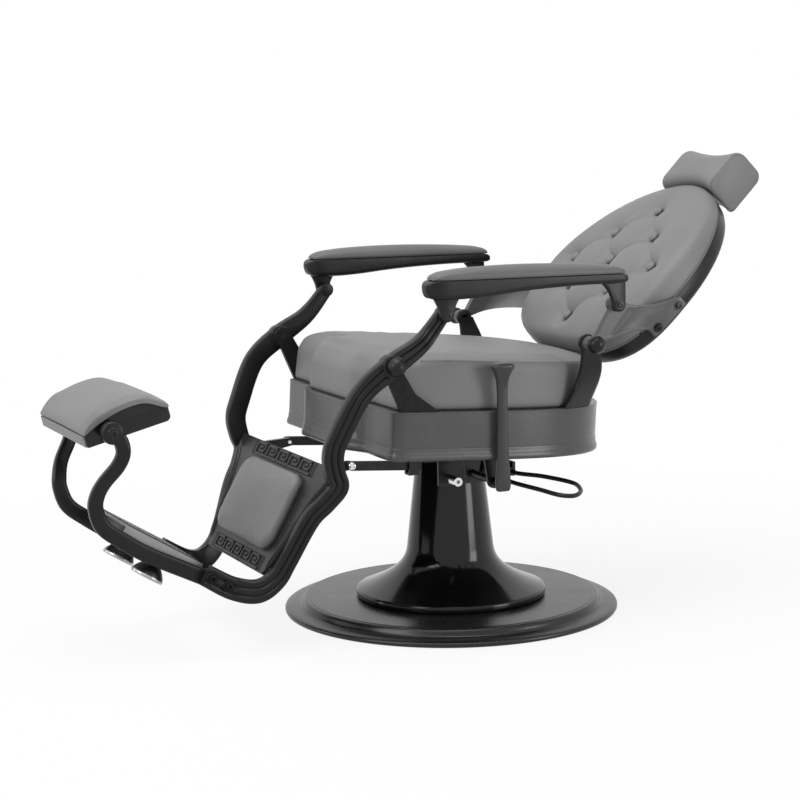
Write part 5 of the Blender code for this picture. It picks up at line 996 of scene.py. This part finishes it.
def build_back_brackets():
    """Cast arms from the two link pins to the back shell: a sunken panel in a raised border, and two flange bolts."""
    margin = EYE_RADIUS * 0.8
    bottom, top = BACK_BOLTS[1] - margin, BACK_BOLTS[0] + margin
    heights = [bottom + (top - bottom) * k / 32 for k in range(33)]
    ends = [back_point(height, FLANGE_START) for height in (bottom, top)]
    rows = []
    for k in range(41):
        t = k / 40
        blend = ease(t, 0.25, 1.0)
        waist = BRACKET_WAIST * sin(pi * t)
        low = [a + (b - a) * t for a, b in zip((REAR_PIVOT[0], REAR_PIVOT[1] - 0.006), ends[0])]
        high = [a + (b - a) * t for a, b in zip((ARM_REAR_PIN[0], ARM_REAR_PIN[1] + 0.006), ends[1])]
        low[1] += waist
        high[1] -= waist
        thick = BRACKET_THICKNESS * (1 - blend) + BACK_FLANGE * blend
        inner, outer = [], []
        for height in heights:
            share = (height - bottom) / (top - bottom)
            y, z = (a + (b - a) * share for a, b in zip(low, high))
            x = (LINK_IN + EYE_PROUD) * (1 - blend) + (back_width(height, 0.0) + SEAT_GAP) * blend
            sunk = ease(share, 0.10, 0.15) * ease(1 - share, 0.10, 0.15) * ease(t, 0.20, 0.25) * ease(1 - t, 0.12, 0.17)
            edge = BRACKET_EDGE * max(0.0, 1 - min(share, 1 - share) / 0.03) ** 2
            inner.append((x, y, z))
            outer.append((x + thick - PANEL_SINK * sunk - edge, y, z))
        rows.append(inner + outer[::-1])
    for depth in (SHELL_SIDE * 0.5, SHELL_SIDE - 0.001, SHELL_SIDE):
        taper = 0.002 * depth / SHELL_SIDE
        proud = BACK_FLANGE - (BRACKET_EDGE if depth == SHELL_SIDE else 0.0)
        inner = [(back_width(height, taper) + 2 * SEAT_GAP, *back_point(height, depth)) for height in heights]
        rows.append(inner + [(x + proud, y, z) for x, y, z in inner[::-1]])
    for letter, side in SIDES:
        shape = bmesh.new()
        loft(shape, [[(side * x, y, z) for x, y, z in row] for row in rows])
        boss(shape, REAR_PIVOT, EYE_RADIUS - 0.0050, LINK_IN, LINK_OUT, side)
        boss(shape, ARM_REAR_PIN, ARM_EYE_RADIUS, LINK_IN, LINK_OUT, side)
        # The brackets take the pale grey, which is partly painted light from the right
        piece(f"back_bracket_casting_{letter}", shape, BRACKET_GREY_AND_LIT, "back", "satin_black", [f"back_bracket_{letter}"],
              crease=40)
    screws = bmesh.new()
    up = Vector((0.0, sin(BACK_RECLINE), cos(BACK_RECLINE)))
    for _, side in SIDES:
        for height in BACK_BOLTS:
            slope = (back_width(height + 0.005, 0.0) - back_width(height - 0.005, 0.0)) / 0.01
            x = back_width(height, 0.001) + BACK_FLANGE + 2 * SEAT_GAP
            out = (Vector((1.0, 0.0, 0.0)) - up * slope).normalized()
            spot = Matrix.Translation((side * x, *back_point(height, SHELL_SIDE * 0.5)))
            bolt(screws, spot @ turned_to((side * out.x, out.y, out.z)), 0.0062, 0.0030, 0.0094)
    piece("back_flange_bolts", screws, BOLT_BLACK, "back", "gloss_black", crease=30)


# Lever, pedal and glides

# Along the lever: share of its length, half width and half thickness in shares of the grip's and the blade's
LEVER_STATIONS = ((-0.06, 0.48, 0.8), (-0.045, 0.64, 1.0), (0.02, 0.70, 1.0), (0.20, 0.56, 0.95), (0.50, 0.48, 0.9),
                  (0.74, 0.48, 0.95), (0.85, 0.55, 1.15), (0.925, 0.83, 1.7), (0.955, 0.99, 2.1), (0.975, 0.97, 2.1),
                  (0.990, 0.82, 1.8), (0.998, 0.55, 1.2), (1.0, 0.30, 0.7))
BLADE_HALF = 0.0055


def build_lever():
    """The recline lever: a slim blade with a rounded back, flared into a club at its top."""
    y, z = LEVER_AXIS
    rings = []
    for share, wide, thick in smooth_run(LEVER_STATIONS, 6):
        wide, thick = LEVER_GRIP * wide, BLADE_HALF * thick
        low = LEVER_X + max(0.0, thick - BLADE_HALF) * 0.6 - thick
        ring = rounded_box((low, y - wide), (low + 2 * thick, y + wide), thick * 0.72, 5)
        rings.append([(a, b, z + LEVER_LENGTH * share) for a, b in ring])
    # The lever's lighter grey is painted highlight
    piece("recline_lever_casting", loft(bmesh.new(), rings), LEVER_PAINT_LIT, "lever", "satin_black", ["recline_lever"],
          crease=45)


# The loop of the pedal in shares of its reach and width, from its start
PEDAL_LOOP = ((0.0, 0.0), (0.025, 0.0), (0.05, 0.0), (0.14, -0.045), (0.353, -0.09), (0.706, 0.09), (0.922, 0.196),
              (1.0, 0.366), (0.941, 0.545), (0.80, 0.705), (0.574, 0.786), (0.282, 0.576), (0.155, 0.39),
              (0.085, 0.285), (0.050, 0.27), (0.025, 0.27), (0.0, 0.27))
PEDAL_START = (0.1296, 0.04134, 0.281)
PEDAL_REACH, PEDAL_WIDTH, PEDAL_FALL, PEDAL_RADIUS = 0.2125, 0.116, 0.012, 0.0042


def build_pedal():
    """The bent rod of the pump's foot pedal."""
    x, y, z = PEDAL_START
    rod = [(x + PEDAL_REACH * reach, y + PEDAL_WIDTH * share, z - PEDAL_FALL * reach)
           for reach, share in smooth_run(PEDAL_LOOP, 10)]
    piece("pedal_rod", cord(bmesh.new(), rod, PEDAL_RADIUS, 14, closed=False), CASTING, "pedal", "satin_black",
          ["pedal_loop"], crease=45)


def build_glides():
    """Floor glides under the foot plate: a stem, a dark cup and a bright rim."""
    run = (Vector((0.0, *FOOT_PLATE_FRONT)) - Vector((0.0, *FOOT_PLATE_REAR))).normalized()
    down = Vector((0.0, -run.z, run.y))
    rim, drop = GLIDE_RADIUS, GLIDE_DROP
    cup = mm((0, 0), (11, 0), (11, 3), (9.5, 4.5), (7, 5.2)) + shifted(mm((7, -27), (8.2, -25)), 0.0, drop)
    cup += [(rim * share, drop - rise) for share, rise in (
        (0.40, 0.0236), (0.58, 0.0200), (0.76, 0.0140), (0.90, 0.0075), (0.96, 0.0030), (0, 0.0030))]
    foot = [(rim * share, drop + rise) for share, rise in (
        (0, -0.0030), (0.965, -0.0034), (0.99, -0.0026), (1, -0.0012), (1, 0.0014), (0.985, 0.0026), (0.93, 0.0035),
        (0, 0.0035))]
    for letter, side in SIDES:
        top = Vector((side * GLIDE_X, *FOOT_PLATE_REAR)) + run * GLIDE_ALONG + down * 0.0043
        place = Matrix.Translation(top) @ turned_to(down)
        for name, profile, material, slot, replaced in (
                ("cup", cup, BASE_PAINT, "gloss_black", [f"foot_glide_{letter}"]),
                ("rim", foot, RIM_STEEL, "bright_steel", ())):
            piece(f"glide_{name}_{letter}", turned(bmesh.new(), profile, 56, place), material, "legs", slot, replaced,
                  crease=45)


# Carved bands and fasteners

# One unit of the key pattern as (along, up), on a grid of seven by three
KEY_UNIT = ((0, 0), (0, 3), (5, 3), (5, 1), (2, 1), (2, 2), (3.4, 2))
# Half width, foot and half line of the two bands, the height of the grid and the line's relief
KEY_BANDS = ((0.140, 0.0838, 0.0023), (0.114, -0.1098, 0.0021))
KEY_STEP, KEY_RELIEF, GROUND_RELIEF = 0.0074, (-0.0005, 0.0024), (-0.0005, 0.0004)


def raised_line(shape, points, half, low, high):
    """Add a flat raised line along (x, height) points of the calf panel."""
    for (ax, ah), (bx, bh) in zip(points, points[1:]):
        dx, dh = bx - ax, bh - ah
        length = hypot(dx, dh)
        dx, dh = dx / length, dh / length
        reach = length / 2 + half
        rings = []
        for proud, trim in ((low, 0.0), (high - 0.0006, 0.0), (high, 0.0006)):
            ring = []
            for along, out in ((-1, -1), (1, -1), (1, 1), (-1, 1)):
                u, v = along * (reach - trim), out * (half - trim)
                ring.append(calf_point((ax + bx) / 2 + u * dx - v * dh, (ah + bh) / 2 + u * dh + v * dx, proud))
            rings.append(ring)
        loft(shape, rings)


def build_key_bands():
    """A raised key pattern on a dark sunk ground, above and below the calf pad."""
    shape, ground = bmesh.new(), bmesh.new()
    for half, foot, line in KEY_BANDS:
        step = (2 * half - 2 * line) / 34
        start, low = line - half, foot + line
        for k in range(5):
            key = [(start + step * (7 * k + a), low + KEY_STEP * b) for a, b in KEY_UNIT]
            raised_line(shape, key, line, *KEY_RELIEF)
        raised_line(shape, [(start, low), (half - line, low)], line, *KEY_RELIEF)
        middle = low + 1.5 * KEY_STEP
        raised_line(ground, [(-half, middle), (half, middle)], 1.5 * KEY_STEP + line + 0.0016, *GROUND_RELIEF)
    piece("calf_key_bands", shape, CASTING, "legs", "satin_black", crease=30)
    piece("calf_key_ground", ground, GROUND, "legs", "satin_black", crease=30)


def build_panel_fillets():
    """Rounded fillets where the calf panel runs into the leg castings."""
    shape = bmesh.new()
    for _, side in SIDES:
        edge = {}
        for corner in NODES["calf_panel"].data.vertices:
            height, proud = on_calf(corner.co.y, corner.co.z)
            reach = side * corner.co.x
            if abs(proud) < 0.0005 and reach > max(0.12, edge.get(round(height, 3), (0.0, 0.0))[0]):
                edge[round(height, 3)] = (reach, height)
        run = [calf_point(side * (edge[k][0] - 0.0005), edge[k][1], -0.0030) for k in sorted(edge)]
        cord(shape, smooth_run(run, 4), lambda share: 0.0075 * ease(min(share, 1 - share), -0.03, 0.16), 14,
             closed=False)
    piece("calf_panel_fillets", shape, CASTING, "legs", "satin_black", crease=60)


def build_tread():
    """Dark ribs along the pale foot plate."""
    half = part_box("foot_plate")[1][0] - 0.010
    rear, front = Vector((0.0, *FOOT_PLATE_REAR)), Vector((0.0, *FOOT_PLATE_FRONT))
    run = (front - rear).normalized()
    up = Vector((0.0, run.z, -run.y))
    section = rounded_box((-0.0075, -0.0010), (0.0075, 0.0022), 0.0014, 3)
    shape = bmesh.new()
    for k in range(6):
        x = half * (2 * k / 5 - 1) * 0.92
        loft(shape, [[rear.lerp(front, share) + Vector((x + a, 0.0, 0.0)) + up * b for a, b in section]
                     for share in (0.05, 0.06, 0.94, 0.95)])
    piece("foot_plate_ribs", shape, BASE_PAINT, "legs", "satin_black", crease=40)


TOE_BOLTS = ((-0.5423, 0.1440), (-0.5115, 0.1267))


def build_fasteners():
    """Cap screws at the leg toes and bright pins at the ends of the link bars."""
    toe = bmesh.new()
    for _, side in SIDES:
        for point in TOE_BOLTS:
            bolt(toe, across(point, side, LEG_TOE_X + 0.0102), 0.0070, 0.0044, 0.0112)
    piece("toe_bolts", toe, BRACKET_BLACK, "legs", "gloss_black", crease=30)
    for letter, side in SIDES:
        pin = bmesh.new()
        boss(pin, BAR_PIN, 0.004, BAR_X - 0.0155, BAR_X + 0.0060, side, 0.0005)
        bolt(pin, across(BAR_PIN, side, BAR_X + 0.0053), 0.0052, 0.0034, 0.0072)
        piece(f"link_bolt_{letter}", pin, CHROME, "legs", "chrome", [f"link_pin_{letter}"], crease=30)


# Finishes of the frame's own pieces

def dress(material, *names):
    for name in names:
        node = NODES[name]
        node.data.materials.clear()
        node.data.materials.append(material)


def soften(width, *names):
    """Round the hard edges of frame pieces a little."""
    for name in names:
        edge = NODES[name].modifiers.new("edge", "BEVEL")
        edge.width = width
        edge.segments = 3
        edge.limit_method = "ANGLE"
        edge.angle_limit = radians(40)


def both(*stems):
    return [f"{stem}_{letter}" for stem in stems for letter, _ in SIDES]


def dress_frame():
    dress(CASTING, "calf_panel", "pedal_yoke", *both("link_bar"))
    dress(BRACKET_BLACK, *both("front_bracket"))
    dress(STEEL_DARK, "pump_cylinder", "swivel_head", "mount_plate", "lever_bracket", "lever_shaft", "pump_bracket",
          "headrest_socket", *both("bar_guide"))
    dress(CHROME, "lift_piston", "pedal_pin", "lock_stud", "headrest_post")
    dress(TREAD, "foot_plate")
    # The seat board's near black is painted shade for the gap under the cushion
    dress(SHADED_BOARD, "seat_board")
    soften(0.0016, "calf_panel", "mount_plate", "pump_bracket", *both("front_bracket", "link_bar"))


# Studio

FLOOR_HALF, FLOOR_DROP = 40, -0.0006
# The lamps: place, target, size and power
LAMPS = {"overhead": ((0.2, -0.4, 3.2), (0.0, -0.1, 0.4), (2.4, 2.4), 70.0),
         "front_left": ((0.9, -3.2, 2.3), (0.0, -0.1, 0.4), (1.8, 1.8), 56.0),
         "right_strip": ((2.5, 1.8, 0.8), (0.0, 0.0, 0.4), (1.00, 1.5), 32.0),
         "left_strip": ((-1.6, -3.2, 1.0), (0.0, 0.0, 0.4), (0.40, 2.0), 12.0)}
CAMERA_PLACE, CAMERA_LENS = (3.65849, -1.75911, 1.01342), 95.333
CAMERA_TURN, CAMERA_TILT, CAMERA_ROLL = radians(65.6403), radians(8.46936), radians(-0.95416)


def seen(tree):
    """1 for what the camera sees, straight or by a reflection, and 0 for what only lights."""
    path = put(tree, "ShaderNodeLightPath").outputs
    straight = figure(tree, "MAXIMUM", path["Is Camera Ray"], path["Is Glossy Ray"])
    return figure(tree, "MAXIMUM", straight, path["Is Transmission Ray"])


def build_studio():
    """A pale floor that reads white to the camera and to reflections, and soft lamps round the chair."""
    floor, half = bpy.data.meshes.new("floor"), FLOOR_HALF
    floor.from_pydata([(-half, -half, 0), (half, -half, 0), (half, half, 0), (-half, half, 0)], [], [(0, 1, 2, 3)])
    ground = stand("floor", floor, (0, 0, FLOOR_DROP))
    paper = bpy.data.materials.new("paper")
    paper.use_nodes = True
    tree = paper.node_tree
    shader = tree.nodes["Principled BSDF"]
    shader.inputs["Base Color"].default_value = (0.80, 0.80, 0.80, 1)
    shader.inputs["Roughness"].default_value = 0.9
    shader.inputs["Specular IOR Level"].default_value = 0.0
    glow = put(tree, "ShaderNodeEmission", {"Color": (1, 1, 1, 1), "Strength": 1.0})
    place = put(tree, "ShaderNodeTexCoord").outputs["Object"]
    away = put(tree, "ShaderNodeVectorMath", {0: place}, operation="LENGTH").outputs["Value"]
    share = figure(tree, "MULTIPLY", seen(tree), spread(tree, away, 0.3, 1.6, 0.86, 1.0))
    mixed = put(tree, "ShaderNodeMixShader", {0: share, 1: shader.outputs[0], 2: glow.outputs[0]})
    tree.links.new(mixed.outputs[0], tree.nodes["Material Output"].inputs["Surface"])
    floor.materials.append(paper)

    world = bpy.data.worlds.new("studio")
    bpy.context.scene.world = world
    world.use_nodes = True
    tree = world.node_tree
    back = tree.nodes["Background"]
    back.inputs["Color"].default_value = (1, 1, 1, 1)
    tree.links.new(spread(tree, seen(tree), to_low=0.30), back.inputs["Strength"])

    for name, (place, target, size, power) in LAMPS.items():
        lamp = bpy.data.lights.new(name, "AREA")
        lamp.shape = "RECTANGLE"
        lamp.size, lamp.size_y = size
        lamp.energy = power
        aim = Vector(target) - Vector(place)
        stand(name, lamp, place).rotation_euler = aim.to_track_quat("-Z", "Y").to_euler()


def build_camera():
    turn, tilt, roll = CAMERA_TURN, CAMERA_TILT, CAMERA_ROLL
    ahead = Vector((-sin(turn) * cos(tilt), cos(turn) * cos(tilt), -sin(tilt)))
    level = Vector((cos(turn), sin(turn), 0.0))
    upright = level.cross(ahead)
    right = level * cos(roll) + upright * sin(roll)
    up = upright * cos(roll) - level * sin(roll)
    lens = bpy.data.cameras.new("camera")
    lens.sensor_width = 36.0
    lens.lens = CAMERA_LENS
    camera = stand("camera", lens)
    camera.matrix_world = Matrix.Translation(CAMERA_PLACE) @ Matrix((right, up, -ahead)).transposed().to_4x4()
    bpy.context.scene.camera = camera


def near_fold(x, z):
    """Whether a point of the back's cover lies on a button or a fold, where it is sewn down."""
    return (min(hypot(x - a, z - b) for a, b in BUTTONS) < 0.011
            or min(near_segment(x, z, a, b)[0] for a, b, _ in FOLDS) < 0.0024)


def build_upholstery():
    """Every padded piece, each with its cover swollen over the filling between its seams."""
    swell(build_seat_cushion(),
          lambda x, y, z: z + CUSHION_TAPER * y < CUSHION_FOOT + 0.058 + 0.0232 * ease(y, -0.23, -0.09), 0.004)
    swell(build_back(), lambda x, y, z: y > -0.030 * thinned(z) or near_fold(x, z), 0.004)
    swell(build_headrest(), lambda x, y, z: abs(x) > HEADREST_HALF_WIDTH - 0.003 or z < BACK_UP + 0.020, 0.003)
    for pad in build_armrests():
        swell(pad, lambda x, y, z: z < arm_top(0.5) + 0.010, 0.0025)
    swell(build_calf_pad(), lambda x, y, z: on_calf(y, z)[1] < 0.014, 0.002)
    swell(build_footpad(), lambda x, y, z: abs(x) > FOOTPAD_HALF_WIDTH - 0.006, 0.003)


dress_frame()
build_base()
build_pan()
build_upholstery()
build_leg_frames()
build_foot_arms()
build_side_brackets()
build_back_brackets()
build_lever()
build_pedal()
build_glides()
build_key_bands()
build_panel_fillets()
build_tread()
build_fasteners()
build_studio()
build_camera()
bpy.context.scene.view_settings.view_transform = "Standard"
